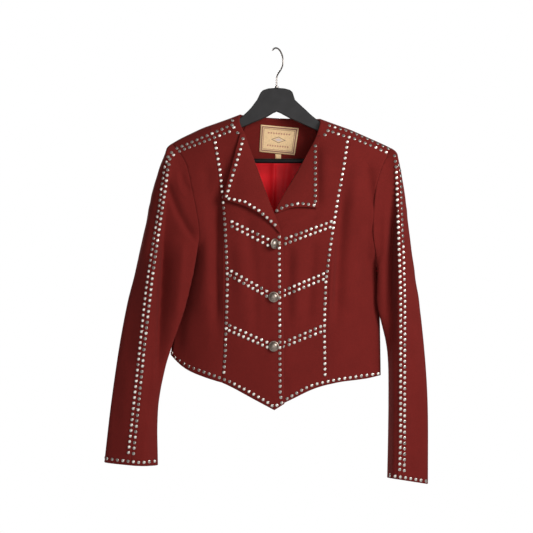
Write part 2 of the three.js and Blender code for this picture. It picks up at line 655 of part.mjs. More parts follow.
const FACING_INSET = 3.2;
const LINING_INSET = 4.2;
const FACING_FOOT = -219;
const neckAt = (x) => level(BACK_NECK.map(([, a, , c]) => [a, c]), x);
const facing = insideBack(5, 12, (down, over) => {
  const topX = mix(-56, 70, over);
  const topZ = neckAt(topX) - 1.5;
  return [mix(topX, mix(-90, 104, over), down), mix(topZ, FACING_FOOT, down)];
}, FACING_INSET);
lone('back_neck_facing', facing, FACING_WOOL, -1, BURGUNDY, 0.85);

const lining = insideBack(8, 12, (down, over) => {
  return [mix(mix(-92, 106, over), mix(-118, 132, over), down), mix(-220, -430, down)];
}, LINING_INSET);
for (const row of lining) {
  for (const point of row) {
    point[1] -= 2.2 * Math.exp(-(((point[0] + 5) / 11) ** 2));
  }
}
lone('back_lining', lining, SATIN, -1, RED_SATIN, 0.45);

const LABEL_INSET = FACING_INSET + FACING_WOOL / 2 + 0.6 + RIBBON / 2;
const label = insideBack(4, 6, (down, over) => {
  const top = [mix(-31.5, 45.1, over), mix(-149.7, -156.4, over)];
  const foot = [mix(-34.7, 37.1, over), mix(-203.5, -210.3, over)];
  return [mix(top[0], foot[0], down), mix(top[1], foot[1], down)];
}, LABEL_INSET);
lone('neck_label', label, RIBBON, -1, CREAM, 0.7);

const tab = insideBack(1, 2, (down, over) => {
  return [mix(-2.4, 9.3, over), mix(-207.9, -218.0, down) - 0.9 * over];
}, LABEL_INSET);
lone('size_tab', tab, RIBBON, -1, CREAM, 0.7);

// Solids of revolution and sweeps

function closeRings(rings) {
  const triangles = [];
  const count = rings[0].length;
  for (let r = 0; r + 1 < rings.length; r += 1) {
    for (let i = 0; i < count; i += 1) {
      const j = (i + 1) % count;
      triangles.push([rings[r][i], rings[r][j], rings[r + 1][j]]);
      triangles.push([rings[r][i], rings[r + 1][j], rings[r + 1][i]]);
    }
  }
  const middle = (ring) => scale(ring.reduce(add, [0, 0, 0]), 1 / count);
  const first = rings[0];
  const last = rings[rings.length - 1];
  const firstMiddle = middle(first);
  const lastMiddle = middle(last);
  for (let i = 0; i < count; i += 1) {
    const j = (i + 1) % count;
    triangles.push([first[j], first[i], firstMiddle]);
    triangles.push([last[i], last[j], lastMiddle]);
  }
  return triangles;
}

// Buttons, as [x, z, turn about the upright in degrees]. The profile is [out, radius].
const BUTTONS = [[-4.1, -390.9, 40], [-5.9, -495.1, 0], [-5.7, -591.8, 0]];
const BUTTON_PROFILE = [
  [0, 7.6], [0.6, 9.6], [1.8, 10.4], [3.0, 10.2], [4.6, 8.6], [6.0, 5.6], [6.7, 2.4],
];
const BUTTON_SIDES = 20;
BUTTONS.forEach(([x, z, degrees], n) => {
  const turn = (degrees * Math.PI) / 180;
  const surface = depthAt(rightCentre, x, z);
  const seat = surface - WOOL / 2 - 0.8 - 8.6 * Math.sin(turn);
  const rings = BUTTON_PROFILE.map(([out, radius]) => {
    const ring = [];
    for (let i = 0; i < BUTTON_SIDES; i += 1) {
      const angle = (2 * Math.PI * i) / BUTTON_SIDES;
      const across = radius * Math.cos(angle);
      const up = radius * Math.sin(angle);
      ring.push([x + across * Math.cos(turn) + out * Math.sin(turn),
        seat - out * Math.cos(turn) + across * Math.sin(turn), z + up]);
    }
    return ring;
  });
  jacket.add(meshOf(`button_${n + 1}`, closeRings(rings), PEWTER, 0.4, 0.8));
});

// Hanger

// Outline of the hanger, clockwise from the top of the head, as [x, z].
const HANGER_OUTLINE = [
  [0, -78.4], [16, -79.6], [27, -82.6], [32, -87], [37, -102.4], [46, -111], [57, -121],
  [69, -132.4], [79.8, -141.2], [94.2, -151.4], [130, -167], [170, -184.5], [198, -198],
  [208, -204], [209, -210], [203, -213], [186, -208], [176, -205], [175, -233], [160, -233],
  [159, -196], [130, -184], [90.6, -168.2], [58, -153.6], [29, -140.4], [8, -129], [0.4, -125.8],
  [-7, -129], [-19, -136.4], [-45, -147.4], [-71.8, -159.2], [-110, -174], [-145, -188],
  [-146, -233], [-161, -233], [-162, -196], [-178, -202.5], [-191, -206], [-195, -201],
  [-192, -195.5], [-180, -188], [-150, -173], [-100, -153], [-80, -142.8], [-70, -136.6],
  [-59, -126.6], [-51, -118.4], [-39, -102.4], [-32, -88], [-27, -83], [-16, -79.6],
];
const HANGER_HALF = 4.5;
const HANGER_CHAMFER = 1.3;
const HANGER_Y = -0.8;

function insetOutline(outline, distance) {
  const count = outline.length;
  return outline.map((point, i) => {
    const before = outline[(i + count - 1) % count];
    const after = outline[(i + 1) % count];
    const a = unit([point[0] - before[0], 0, point[1] - before[1]]);
    const b = unit([after[0] - point[0], 0, after[1] - point[1]]);
    const normal = unit([a[2] + b[2], 0, -(a[0] + b[0])]);
    const spread = Math.max(0.5, normal[0] * a[2] - normal[2] * a[0]);
    return [point[0] + (normal[0] * distance) / spread, point[1] + (normal[2] * distance) / spread];
  });
}

function plate(outline, half, chamfer) {
  const narrow = insetOutline(outline, chamfer);
  const ring = (flat, y) => flat.map(([x, z]) => [x, y + HANGER_Y, z]);
  const rings = [
    ring(narrow, -half), ring(outline, -half + chamfer), ring(outline, half - chamfer), ring(narrow, half),
  ];
  const triangles = [];
  const count = outline.length;
  for (let r = 0; r < 3; r += 1) {
    for (let i = 0; i < count; i += 1) {
      const j = (i + 1) % count;
      triangles.push([rings[r][i], rings[r][j], rings[r + 1][j]]);
      triangles.push([rings[r][i], rings[r + 1][j], rings[r + 1][i]]);
    }
  }
  const flat = narrow.map(([x, z]) => new THREE.Vector2(x, z));
  for (const [a, b, c] of THREE.ShapeUtils.triangulateShape(flat, [])) {
    const area = (flat[b].x - flat[a].x) * (flat[c].y - flat[a].y)
      - (flat[c].x - flat[a].x) * (flat[b].y - flat[a].y);
    const [p, q, s] = area > 0 ? [a, b, c] : [a, c, b];
    triangles.push([rings[0][p], rings[0][q], rings[0][s]]);
    triangles.push([rings[3][p], rings[3][s], rings[3][q]]);
  }
  return triangles;
}

jacket.add(meshOf('hanger_body', plate(HANGER_OUTLINE, HANGER_HALF, HANGER_CHAMFER), CHARCOAL, 0.4, 0));

const BAR_RADIUS = 4.7;
const BAR_HEIGHT = -224.4;
const BAR_ENDS = [-145.2, 159.2];
const BAR_SIDES = 16;
const barRings = [0, 0.2, 0.4, 0.6, 0.8, 1].map((t) => {
  const ring = [];
  for (let i = 0; i < BAR_SIDES; i += 1) {
    const angle = (2 * Math.PI * i) / BAR_SIDES;
    ring.push([mix(BAR_ENDS[0], BAR_ENDS[1], t), BAR_RADIUS * Math.cos(angle),
      BAR_HEIGHT + BAR_RADIUS * Math.sin(angle)]);
  }
  return ring;
});
jacket.add(meshOf('hanger_bar', closeRings(barRings), CHARCOAL, 0.4, 0));

// Hook. Its plane is turned about the upright; rows are [across, z, radius].
const HOOK_TURN = (54 * Math.PI) / 180;
const HOOK_PATH = [
  [0, -78.0, 4.2], [0, -75.2, 4.2], [0, -74.6, 1.8], [0, -66, 1.8], [0, -60, 1.8], [1.2, -54, 1.8],
  [5.5, -48.5, 1.8], [11.5, -43.5, 1.8], [17.5, -37.0, 1.8], [21.6, -29.0, 1.8], [22.6, -20.8, 1.8],
  [20.6, -12.6, 1.8], [16.0, -5.6, 1.8], [9.4, -0.5, 1.8], [2.6, 1.7, 1.8], [-4.0, 1.4, 1.8],
  [-10.0, -1.2, 1.8], [-13.6, -4.2, 1.8], [-14.2, -4.8, 1.1],
];
const HOOK_SIDES = 10;
const hookRings = HOOK_PATH.map(([across, z, radius], n) => {
  const before = HOOK_PATH[Math.max(n - 1, 0)];
  const after = HOOK_PATH[Math.min(n + 1, HOOK_PATH.length - 1)];
  const go = unit([after[0] - before[0], 0, after[1] - before[1]]);
  const ring = [];
  for (let i = 0; i < HOOK_SIDES; i += 1) {
    const angle = (2 * Math.PI * i) / HOOK_SIDES;
    const inPlane = radius * Math.cos(angle);
    const beside = radius * Math.sin(angle);
    const w = across + inPlane * go[2];
    ring.push([w * Math.cos(HOOK_TURN) - beside * Math.sin(HOOK_TURN),
      w * Math.sin(HOOK_TURN) + beside * Math.cos(HOOK_TURN), z - inPlane * go[0]]);
  }
  return ring;
});
jacket.add(meshOf('hanger_hook', closeRings(hookRings), CHROME, 0.2, 1));

export default jacket;
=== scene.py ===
# Dresses the western jacket on its hanger: cloth, revers, lining, studs, buttons and hook.
# Lengths are metres unless a comment says otherwise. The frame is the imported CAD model.

import math
import random
from collections import namedtuple

import bmesh
import bpy
import numpy as np
from bpy.props import FloatProperty, FloatVectorProperty, IntProperty, PointerProperty
from mathutils import Matrix, Vector, noise
from mathutils.bvhtree import BVHTree


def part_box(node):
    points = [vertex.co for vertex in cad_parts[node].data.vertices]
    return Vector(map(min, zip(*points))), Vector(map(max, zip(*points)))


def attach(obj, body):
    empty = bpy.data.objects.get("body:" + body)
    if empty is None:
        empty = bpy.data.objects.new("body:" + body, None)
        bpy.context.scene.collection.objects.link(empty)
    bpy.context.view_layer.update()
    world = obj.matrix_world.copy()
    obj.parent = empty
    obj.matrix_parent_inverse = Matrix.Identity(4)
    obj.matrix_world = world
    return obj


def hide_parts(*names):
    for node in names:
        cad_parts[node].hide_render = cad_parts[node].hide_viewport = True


bl_info = {
    "name": "Western Jacket On A Hanger",
    "version": (1, 0, 0),
    "blender": (4, 5, 0),
    "location": "View3D > Sidebar > Jacket",
    "description": "Makes the cloth, studs, buttons and hanger of a cropped western jacket",
    "category": "Object",
}

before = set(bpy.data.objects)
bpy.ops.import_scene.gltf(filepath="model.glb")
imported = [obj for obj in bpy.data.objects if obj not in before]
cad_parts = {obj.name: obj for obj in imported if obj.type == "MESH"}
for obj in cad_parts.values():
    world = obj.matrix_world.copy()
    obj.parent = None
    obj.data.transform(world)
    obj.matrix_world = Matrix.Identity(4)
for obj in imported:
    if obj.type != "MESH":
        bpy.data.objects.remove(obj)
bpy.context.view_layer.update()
BODY = "root"

# The camera stands level in front of the jacket, this far from its plane. The sensor is in
# millimetres.
CAMERA_DISTANCE = 3.0
VIEW_CENTRE = (-0.020, -0.4354)
VIEW_WIDTH = 1.066
SENSOR = 36.0

# One photograph pixel on the jacket's plane, and the pixel where the origin is seen.
PIXEL = 0.002
ORIGIN_PIXEL = (276.5, 48.8)

SHOWN_CLOTH = (
    "front_centre_right", "front_side_right", "front_centre_left", "front_side_left", "back",
)
SLEEVE_CLOTH = (
    "sleeve_right_front", "sleeve_right_back", "sleeve_left_front", "sleeve_left_back",
)
REVERS_CLOTH = ("lapel_right", "lapel_left")


class JacketCloth(bpy.types.PropertyGroup):
    wool_colour: FloatVectorProperty(
        name="Wool", description="Colour of the burgundy wool", subtype="COLOR",
        size=3, min=0, max=1, default=(0.140, 0.0122, 0.0100))
    satin_colour: FloatVectorProperty(
        name="Satin", description="Colour of the red lining", subtype="COLOR",
        size=3, min=0, max=1, default=(0.80, 0.012, 0.020))
    ribbon_colour: FloatVectorProperty(
        name="Ribbon", description="Ground colour of the neck label", subtype="COLOR",
        size=3, min=0, max=1, default=(0.80, 0.56, 0.30))
    border_colour: FloatVectorProperty(
        name="Label border", description="Colour of the label's border", subtype="COLOR",
        size=3, min=0, max=1, default=(0.26, 0.12, 0.085))
    smooth_levels: IntProperty(
        name="Smoothing", description="Subdivision levels of the cloth", min=1, max=3, default=2)
    fold_depth: FloatProperty(
        name="Fold depth", description="Scale of the small folds", min=0, max=3, default=1.3)


class StudTrim(bpy.types.PropertyGroup):
    diameter: FloatProperty(
        name="Stud diameter", description="Width of one stud", unit="LENGTH", default=0.0066)
    rise: FloatProperty(
        name="Stud rise", description="Height of one stud on the cloth", unit="LENGTH", default=0.0015)
    pitch: FloatProperty(
        name="Stud pitch", description="Distance between studs in a row", unit="LENGTH", default=0.0110)
    metal_colour: FloatVectorProperty(
        name="Stud metal", description="Colour of the studs", subtype="COLOR",
        size=3, min=0, max=1, default=(0.60, 0.57, 0.52))


class ButtonSet(bpy.types.PropertyGroup):
    diameter: FloatProperty(
        name="Button diameter", description="Width of a button", unit="LENGTH", default=0.0208)
    metal_colour: FloatVectorProperty(
        name="Button metal", description="Colour of the buttons", subtype="COLOR",
        size=3, min=0, max=1, default=(0.34, 0.28, 0.235))
    thread_colour: FloatVectorProperty(
        name="Thread", description="Colour of the buttonhole thread", subtype="COLOR",
        size=3, min=0, max=1, default=(0.60, 0.44, 0.30))


class HangerFinish(bpy.types.PropertyGroup):
    body_colour: FloatVectorProperty(
        name="Hanger", description="Colour of the hanger's body", subtype="COLOR",
        size=3, min=0, max=1, default=(0.0125, 0.0115, 0.0120))
    bar_colour: FloatVectorProperty(
        name="Bar", description="Colour of the trouser bar", subtype="COLOR",
        size=3, min=0, max=1, default=(0.005, 0.0045, 0.005))
    wire_colour: FloatVectorProperty(
        name="Hook", description="Colour of the hook's wire", subtype="COLOR",
        size=3, min=0, max=1, default=(0.30, 0.27, 0.25))


class StudioSet(bpy.types.PropertyGroup):
    floor_drop: FloatProperty(
        name="Floor drop", description="Depth of the floor under the hook", unit="LENGTH", default=1.5)
    key_power: FloatProperty(
        name="Key light", description="Power of the main light", unit="POWER", default=30.0)
    fill_power: FloatProperty(
        name="Front light", description="Power of the soft front light", unit="POWER", default=19.0)
    rear_power: FloatProperty(
        name="Rear light", description="Power of the light behind", unit="POWER", default=57.0)


# Helpers

def link(obj):
    bpy.context.scene.collection.objects.link(obj)
    return obj


def object_from(bm, name):
    mesh = bpy.data.meshes.new(name)
    bm.to_mesh(mesh)
    bm.free()
    return link(bpy.data.objects.new(name, mesh))


def shade_smooth(obj):
    for polygon in obj.data.polygons:
        polygon.use_smooth = True


def ride_as(obj):
    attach(obj, BODY)


def on_plane(px, py):
    """A place seen in the photograph, as x and z on the jacket's plane."""
    return ((px - ORIGIN_PIXEL[0]) * PIXEL, (ORIGIN_PIXEL[1] - py) * PIXEL)


def camera_place():
    return Vector((VIEW_CENTRE[0], -CAMERA_DISTANCE, VIEW_CENTRE[1]))


# Materials

def start_material(name):
    material = bpy.data.materials.new(name)
    material.use_nodes = True
    nodes = material.node_tree.nodes
    place = nodes.new("ShaderNodeTexCoord").outputs["Object"]
    return material, nodes, material.node_tree.links, nodes["Principled BSDF"], place


def add_node(nodes, kind, **values):
    node = nodes.new(kind)
    for key, value in values.items():
        if key in node.inputs:
            node.inputs[key].default_value = value
        else:
            setattr(node, key, value)
    return node


def noise_node(nodes, links, place, scale, detail, roughness=0.5):
    node = add_node(nodes, "ShaderNodeTexNoise", Scale=scale, Detail=detail, Roughness=roughness)
    links.new(place, node.inputs["Vector"])
    return node.outputs["Fac"]


def blend_colour(nodes, links, factor, low, high):
    ramp = nodes.new("ShaderNodeValToRGB")
    ramp.color_ramp.elements[0].position = 0.32
    ramp.color_ramp.elements[0].color = (*low, 1.0)
    ramp.color_ramp.elements[1].position = 0.68
    ramp.color_ramp.elements[1].color = (*high, 1.0)
    links.new(factor, ramp.inputs["Fac"])
    return ramp.outputs["Color"]


def scaled(colour, factor):
    return tuple(min(1.0, channel * factor) for channel in colour)


def add_bump(nodes, links, height, strength, distance, below=None):
    bump = add_node(nodes, "ShaderNodeBump", Strength=strength, Distance=distance)
    links.new(height, bump.inputs["Height"])
    if below is not None:
        links.new(below, bump.inputs["Normal"])
    return bump.outputs["Normal"]


def wool_material(colour):
    """Soft twill: a fine diagonal rib, a felted nap and a slight change of depth."""
    material, nodes, links, shader, place = start_material("burgundy_twill_wool")
    patches = noise_node(nodes, links, place, 26.0, 4.0, 0.6)
    tone = blend_colour(nodes, links, patches, scaled(colour, 0.95), scaled(colour, 1.05))
    flecks = noise_node(nodes, links, place, 900.0, 2.0, 0.7)
    fleck_tone = blend_colour(nodes, links, flecks, (0.80, 0.80, 0.80), (1.16, 1.13, 1.13))
    mixed = add_node(nodes, "ShaderNodeMix", data_type="RGBA", blend_type="MULTIPLY")
    mixed.inputs[0].default_value = 1.0
    links.new(tone, mixed.inputs[6])
    links.new(fleck_tone, mixed.inputs[7])
    links.new(mixed.outputs[2], shader.inputs["Base Color"])
    turned = add_node(nodes, "ShaderNodeMapping", Rotation=(0.0, math.radians(52.0), 0.0))
    links.new(place, turned.inputs["Vector"])
    rib = add_node(nodes, "ShaderNodeTexWave", Scale=230.0, Distortion=1.2, Detail=2.0)
    rib.inputs["Detail Scale"].default_value = 2.0
    links.new(turned.outputs["Vector"], rib.inputs["Vector"])
    nap = noise_node(nodes, links, place, 420.0, 5.0, 0.7)
    ribbed = add_bump(nodes, links, rib.outputs["Fac"], 0.30, 0.0004)
    napped = add_bump(nodes, links, nap, 0.35, 0.0007, ribbed)
    links.new(napped, shader.inputs["Normal"])
    shader.inputs["Roughness"].default_value = 0.92
    shader.inputs["Specular IOR Level"].default_value = 0.10
    shader.inputs["Sheen Weight"].default_value = 0.05
    shader.inputs["Sheen Roughness"].default_value = 0.5
    shader.inputs["Sheen Tint"].default_value = (1.0, 0.45, 0.40, 1.0)
    return material


def satin_material(colour):
    """Lining satin: smooth and glossy with long fine threads and soft creases; its tone varies at random
    and is painted darker in the creases' hollows and lighter on their ridges.
    """
    material, nodes, links, shader, place = start_material("red_lining_satin")
    stretched = add_node(nodes, "ShaderNodeMapping", Scale=(1.0, 1.0, 0.18))
    links.new(place, stretched.inputs["Vector"])
    creases_and_painted_shade = noise_node(nodes, links, stretched.outputs["Vector"], 60.0, 3.0)
    # Partly random tone, partly painted shade: this tone follows the same noise as the crease bump, so the
    # hollows are painted darker and the ridges lighter.
    tone = blend_colour(nodes, links, creases_and_painted_shade, scaled(colour, 0.92), scaled(colour, 1.08))
    links.new(tone, shader.inputs["Base Color"])
    threads = add_node(nodes, "ShaderNodeTexWave", Scale=520.0, Distortion=0.6, bands_direction="X")
    links.new(place, threads.inputs["Vector"])
    fine = add_bump(nodes, links, threads.outputs["Fac"], 0.10, 0.0002)
    creased = add_bump(nodes, links, creases_and_painted_shade, 0.10, 0.002, fine)
    links.new(creased, shader.inputs["Normal"])
    shader.inputs["Roughness"].default_value = 0.46
    shader.inputs["Specular IOR Level"].default_value = 0.16
    return material


def metal_material(name, colour, roughness, tarnish, grain):
    """Worn metal: a dull film in random patches and a slight scatter of scratches."""
    material, nodes, links, shader, place = start_material(name)
    film = noise_node(nodes, links, place, grain, 4.0, 0.6)
    tone = blend_colour(nodes, links, film, scaled(colour, 1.0 - tarnish), scaled(colour, 1.12))
    links.new(tone, shader.inputs["Base Color"])
    span = add_node(nodes, "ShaderNodeMapRange")
    span.inputs["To Min"].default_value = max(0.02, roughness - 0.08)
    span.inputs["To Max"].default_value = roughness + 0.14
    links.new(film, span.inputs["Value"])
    links.new(span.outputs["Result"], shader.inputs["Roughness"])
    scratch = noise_node(nodes, links, place, grain * 6.0, 2.0)
    links.new(add_bump(nodes, links, scratch, 0.08, 0.0002), shader.inputs["Normal"])
    shader.inputs["Metallic"].default_value = 1.0
    return material


def hanger_material(name, colour, shine):
    """Satin black plastic with a faint mould texture."""
    material, nodes, links, shader, place = start_material(name)
    haze = noise_node(nodes, links, place, 45.0, 3.0)
    tone = blend_colour(nodes, links, haze, scaled(colour, 0.85), scaled(colour, 1.35))
    links.new(tone, shader.inputs["Base Color"])
    grain = noise_node(nodes, links, place, 1500.0, 2.0)
    links.new(add_bump(nodes, links, grain, 0.12, 0.0002), shader.inputs["Normal"])
    shader.inputs["Roughness"].default_value = 0.42
    shader.inputs["Specular IOR Level"].default_value = shine
    return material


# The label's size, which its UV map spreads over, and its design: the insets of its border's two
# bands, a row of small diamonds above and below, and a lozenge in the middle.
LABEL_SIZE = (0.0755, 0.0545)
LABEL_BANDS = ((0.0026, 0.0050), (0.0064, 0.0074))
DIAMOND_HALF_PITCH = 0.0026
DIAMOND_HALF = 0.0021
DIAMOND_ROW = 0.0125
DIAMOND_REACH = 0.0234
LOZENGE_SLOPE = 0.42
LOZENGE_RIM = (0.0052, 0.0064)
LOZENGE_HEART = 0.0034
DIAMOND_COLOUR = (0.46, 0.20, 0.13)
RIM_COLOUR = (0.20, 0.13, 0.10)
HEART_COLOUR = (0.62, 0.50, 0.46)


def math_node(nodes, links, operation, *values):
    """A Math node; its values are numbers or other nodes' outputs."""
    node = add_node(nodes, "ShaderNodeMath", operation=operation)
    for slot, value in zip(node.inputs, values):
        if isinstance(value, (int, float)):
            slot.default_value = value
        else:
            links.new(value, slot)
    return node.outputs[0]


def band_node(nodes, links, value, low, high):
    """One where a value lies between two numbers."""
    over = math_node(nodes, links, "GREATER_THAN", value, low)
    under = math_node(nodes, links, "LESS_THAN", value, high)
    return math_node(nodes, links, "MULTIPLY", over, under)


def paint(nodes, links, factor, below, colour):
    mixed = add_node(nodes, "ShaderNodeMix", data_type="RGBA")
    links.new(factor, mixed.inputs[0])
    links.new(below, mixed.inputs[6])
    mixed.inputs[7].default_value = (*colour, 1.0)
    return mixed.outputs[2]


def start_ribbon(name, colour):
    """Plain woven ribbon, and its tone for a design to be painted on."""
    material, nodes, links, shader, place = start_material(name)
    shade = noise_node(nodes, links, place, 300.0, 3.0)
    tone = blend_colour(nodes, links, shade, scaled(colour, 0.9), scaled(colour, 1.08))
    links.new(tone, shader.inputs["Base Color"])
    weave = add_node(nodes, "ShaderNodeTexWave", Scale=600.0, Distortion=0.5, bands_direction="Z")
    links.new(place, weave.inputs["Vector"])
    links.new(add_bump(nodes, links, weave.outputs["Fac"], 0.25, 0.0002), shader.inputs["Normal"])
    shader.inputs["Roughness"].default_value = 0.7
    return material, tone


def label_material(ribbon, border):
    """Woven ribbon with a double border, two rows of small diamonds and a lozenge."""
    material, tone = start_ribbon("cream_woven_label", ribbon)
    nodes = material.node_tree.nodes
    links = material.node_tree.links
    split = nodes.new("ShaderNodeSeparateXYZ")
    links.new(nodes.new("ShaderNodeUVMap").outputs["UV"], split.inputs["Vector"])
    away = []
    inset = []
    for axis, size in zip("XY", LABEL_SIZE):
        centred = math_node(nodes, links, "SUBTRACT", split.outputs[axis], 0.5)
        across = math_node(nodes, links, "MULTIPLY", centred, size)
        away.append(math_node(nodes, links, "ABSOLUTE", across))
        inset.append(math_node(nodes, links, "SUBTRACT", size / 2, away[-1]))
    wide, high = away
    nearest = math_node(nodes, links, "MINIMUM", *inset)
    bands = [band_node(nodes, links, nearest, low, high_edge) for low, high_edge in LABEL_BANDS]
    step = math_node(nodes, links, "PINGPONG", wide, DIAMOND_HALF_PITCH)
    above_row = math_node(nodes, links, "SUBTRACT", high, DIAMOND_ROW)
    diamond = math_node(nodes, links, "ADD", step, math_node(nodes, links, "ABSOLUTE", above_row))
    in_row = band_node(nodes, links, wide, -1.0, DIAMOND_REACH)
    small = band_node(nodes, links, diamond, -1.0, DIAMOND_HALF)
    sloped = math_node(nodes, links, "MULTIPLY", wide, LOZENGE_SLOPE)
    lozenge = math_node(nodes, links, "ADD", sloped, high)
    for factor, colour in (
            (math_node(nodes, links, "MULTIPLY", small, in_row), DIAMOND_COLOUR),
            (band_node(nodes, links, lozenge, *LOZENGE_RIM), RIM_COLOUR),
            (band_node(nodes, links, lozenge, -1.0, LOZENGE_HEART), HEART_COLOUR),
            (math_node(nodes, links, "MAXIMUM", *bands), border)):
        tone = paint(nodes, links, factor, tone, colour)
    links.new(tone, nodes["Principled BSDF"].inputs["Base Color"])
    return material


def thread_material(colour):
    material, nodes, links, shader, place = start_material("buttonhole_thread")
    twist = add_node(nodes, "ShaderNodeTexWave", Scale=900.0, Distortion=0.4)
    twist.bands_direction = "DIAGONAL"
    links.new(place, twist.inputs["Vector"])
    tone = blend_colour(nodes, links, twist.outputs["Fac"], scaled(colour, 0.7), scaled(colour, 1.15))
    links.new(tone, shader.inputs["Base Color"])
    links.new(add_bump(nodes, links, twist.outputs["Fac"], 0.4, 0.0002), shader.inputs["Normal"])
    shader.inputs["Roughness"].default_value = 0.8
    return material


MATERIALS = {}


def make_finish(name):
    cloth = bpy.context.scene.jacket_cloth
    buttons = bpy.context.scene.button_set
    hanger = bpy.context.scene.hanger_finish
    stud_metal = bpy.context.scene.stud_trim.metal_colour
    makers = {
        "wool": (wool_material, cloth.wool_colour),
        "satin": (satin_material, cloth.satin_colour),
        "label": (label_material, cloth.ribbon_colour, cloth.border_colour),
        "thread": (thread_material, buttons.thread_colour),
        "stud": (metal_material, "nickel_stud", stud_metal, 0.26, 0.22, 210.0),
        "button": (metal_material, "antique_pewter", buttons.metal_colour, 0.34, 0.45, 380.0),
        "hook": (metal_material, "chromed_wire", hanger.wire_colour, 0.24, 0.15, 90.0),
        "hanger": (hanger_material, "satin_black_plastic", hanger.body_colour, 0.32),
        "bar": (hanger_material, "black_bar_plastic", hanger.bar_colour, 0.18),
    }
    if name == "ribbon":
        return start_ribbon("cream_ribbon", cloth.ribbon_colour)[0]
    maker, *values = makers[name]
    return maker(*values)


def finish_of(name):
    """Makes each finish once."""
    if name not in MATERIALS:
        MATERIALS[name] = make_finish(name)
    return MATERIALS[name]


# Small folds, seen from the front in photograph pixels: the widths left and right of a path from its
# top, and a depth in millimetres, which sinks the cloth above zero and lifts it below.
Fold = namedtuple("Fold", "left right depth path")
BODY_FOLDS = (
    Fold(6.0, 3.0, 5.4, ((225, 148), (225, 182), (217, 205), (215.5, 262), (217, 338))),
    Fold(1.8, 3.2, -1.4, ((224.6, 204), (223.8, 260), (223.6, 334))),
    Fold(6.0, 6.0, 2.4, ((205, 160), (209, 200), (214, 240))),
    Fold(4.0, 5.0, 2.4, ((196, 246), (190, 280), (186, 318))),
    Fold(5.0, 5.0, -1.6, ((206, 235), (202, 275), (199, 315))),
    Fold(5.0, 6.0, 3.4, ((186, 290), (181, 322), (175, 356))),
    Fold(5.0, 6.0, 2.2, ((246, 208), (249, 240), (254, 270), (256, 340))),
    Fold(6.0, 6.0, -1.6, ((238, 235), (242, 310))),
    Fold(4.0, 4.0, 1.0, ((266, 250), (266, 330))),
    Fold(3.0, 7.0, 6.0, ((344, 180), (340.5, 215), (338, 255), (335.5, 330))),
    Fold(3.0, 2.2, -1.4, ((334, 235), (331.5, 285), (330, 325))),
    Fold(2.6, 4.0, 2.2, ((289, 240), (288.5, 280), (288, 330))),
    Fold(4.0, 4.0, -1.6, ((299, 240), (297, 330))),
    Fold(4.5, 4.5, 2.8, ((314, 236), (311, 270), (308, 330))),
    Fold(3.5, 3.5, -1.4, ((277, 226), (296, 220), (318, 208))),
    Fold(3.0, 3.5, 2.2, ((282, 233), (300, 227), (322, 214))),
    Fold(2.0, 2.0, 1.4, ((287, 374), (286.5, 385), (286, 398))),
    Fold(3.5, 5.0, 4.6, ((316.5, 140), (317, 180), (318, 214))),
    Fold(6.0, 5.0, 3.2, ((366, 160), (370, 185), (375, 212))),
    Fold(5.0, 5.0, -1.2, ((356, 165), (355, 215))),
    Fold(5.0, 6.5, 3.6, ((370, 214), (367, 250), (366, 300))),
    Fold(9.0, 9.0, -1.4, ((360, 250), (357, 350))),
)
SLEEVE_FOLDS = (
    Fold(2.6, 5.0, 5.0, ((163, 174), (170, 194), (178, 214), (187, 230), (198, 244))),
    Fold(2.0, 11.0, 9.0, ((164, 236), (161.5, 268), (159, 320), (157, 394))),
    Fold(5.0, 6.0, -6.0, ((157, 176), (150, 208), (147, 228), (141, 268))),
    Fold(5.0, 4.0, -2.4, ((184, 236), (182, 275), (176, 325))),
    Fold(2.6, 2.6, 1.8, ((180, 170), (184, 184), (192, 192))),
    Fold(2.2, 2.2, -1.2, ((176, 172), (180, 190), (188, 199))),
    Fold(6.0, 6.0, 1.8, ((141, 240), (134, 300), (126, 380))),
    Fold(4.0, 5.0, 1.6, ((151, 330), (149, 380), (147, 440))),
    Fold(5.0, 5.0, 1.2, ((122, 350), (117, 400), (114, 445))),
    Fold(4.0, 2.2, 3.0, ((393, 176), (391.5, 235), (390, 290), (389, 345))),
    Fold(2.2, 4.5, -3.4, ((398, 186), (396.6, 240), (396.4, 300), (396, 360))),
    Fold(3.0, 3.0, -1.6, ((385, 200), (384.5, 260), (385, 320))),
    Fold(5.0, 4.0, 1.6, ((411, 225), (414, 280), (417, 350))),
    Fold(3.5, 3.0, 1.6, ((397, 350), (395.5, 400), (395, 450))),
    Fold(5.0, 5.0, 1.2, ((414, 370), (416, 420), (416, 460))),
)
REVERS_FOLDS = (
    Fold(5.0, 5.0, -3.4, ((241, 128), (238, 150), (223, 199), (245, 203), (261, 212), (277, 229))),
    Fold(5.0, 5.0, -2.6, ((317.5, 136), (318, 206), (300, 205), (284, 208), (275, 213))),
)
LINING_FOLDS = (
    Fold(3.6, 0.9, -3.0, ((275, 150), (274.4, 180), (273, 226))),
    Fold(3.0, 4.0, -1.8, ((289, 150), (285, 190), (280, 226))),
)


# The share of a fold's length over which it fades at each end.
FOLD_FADE = 0.22


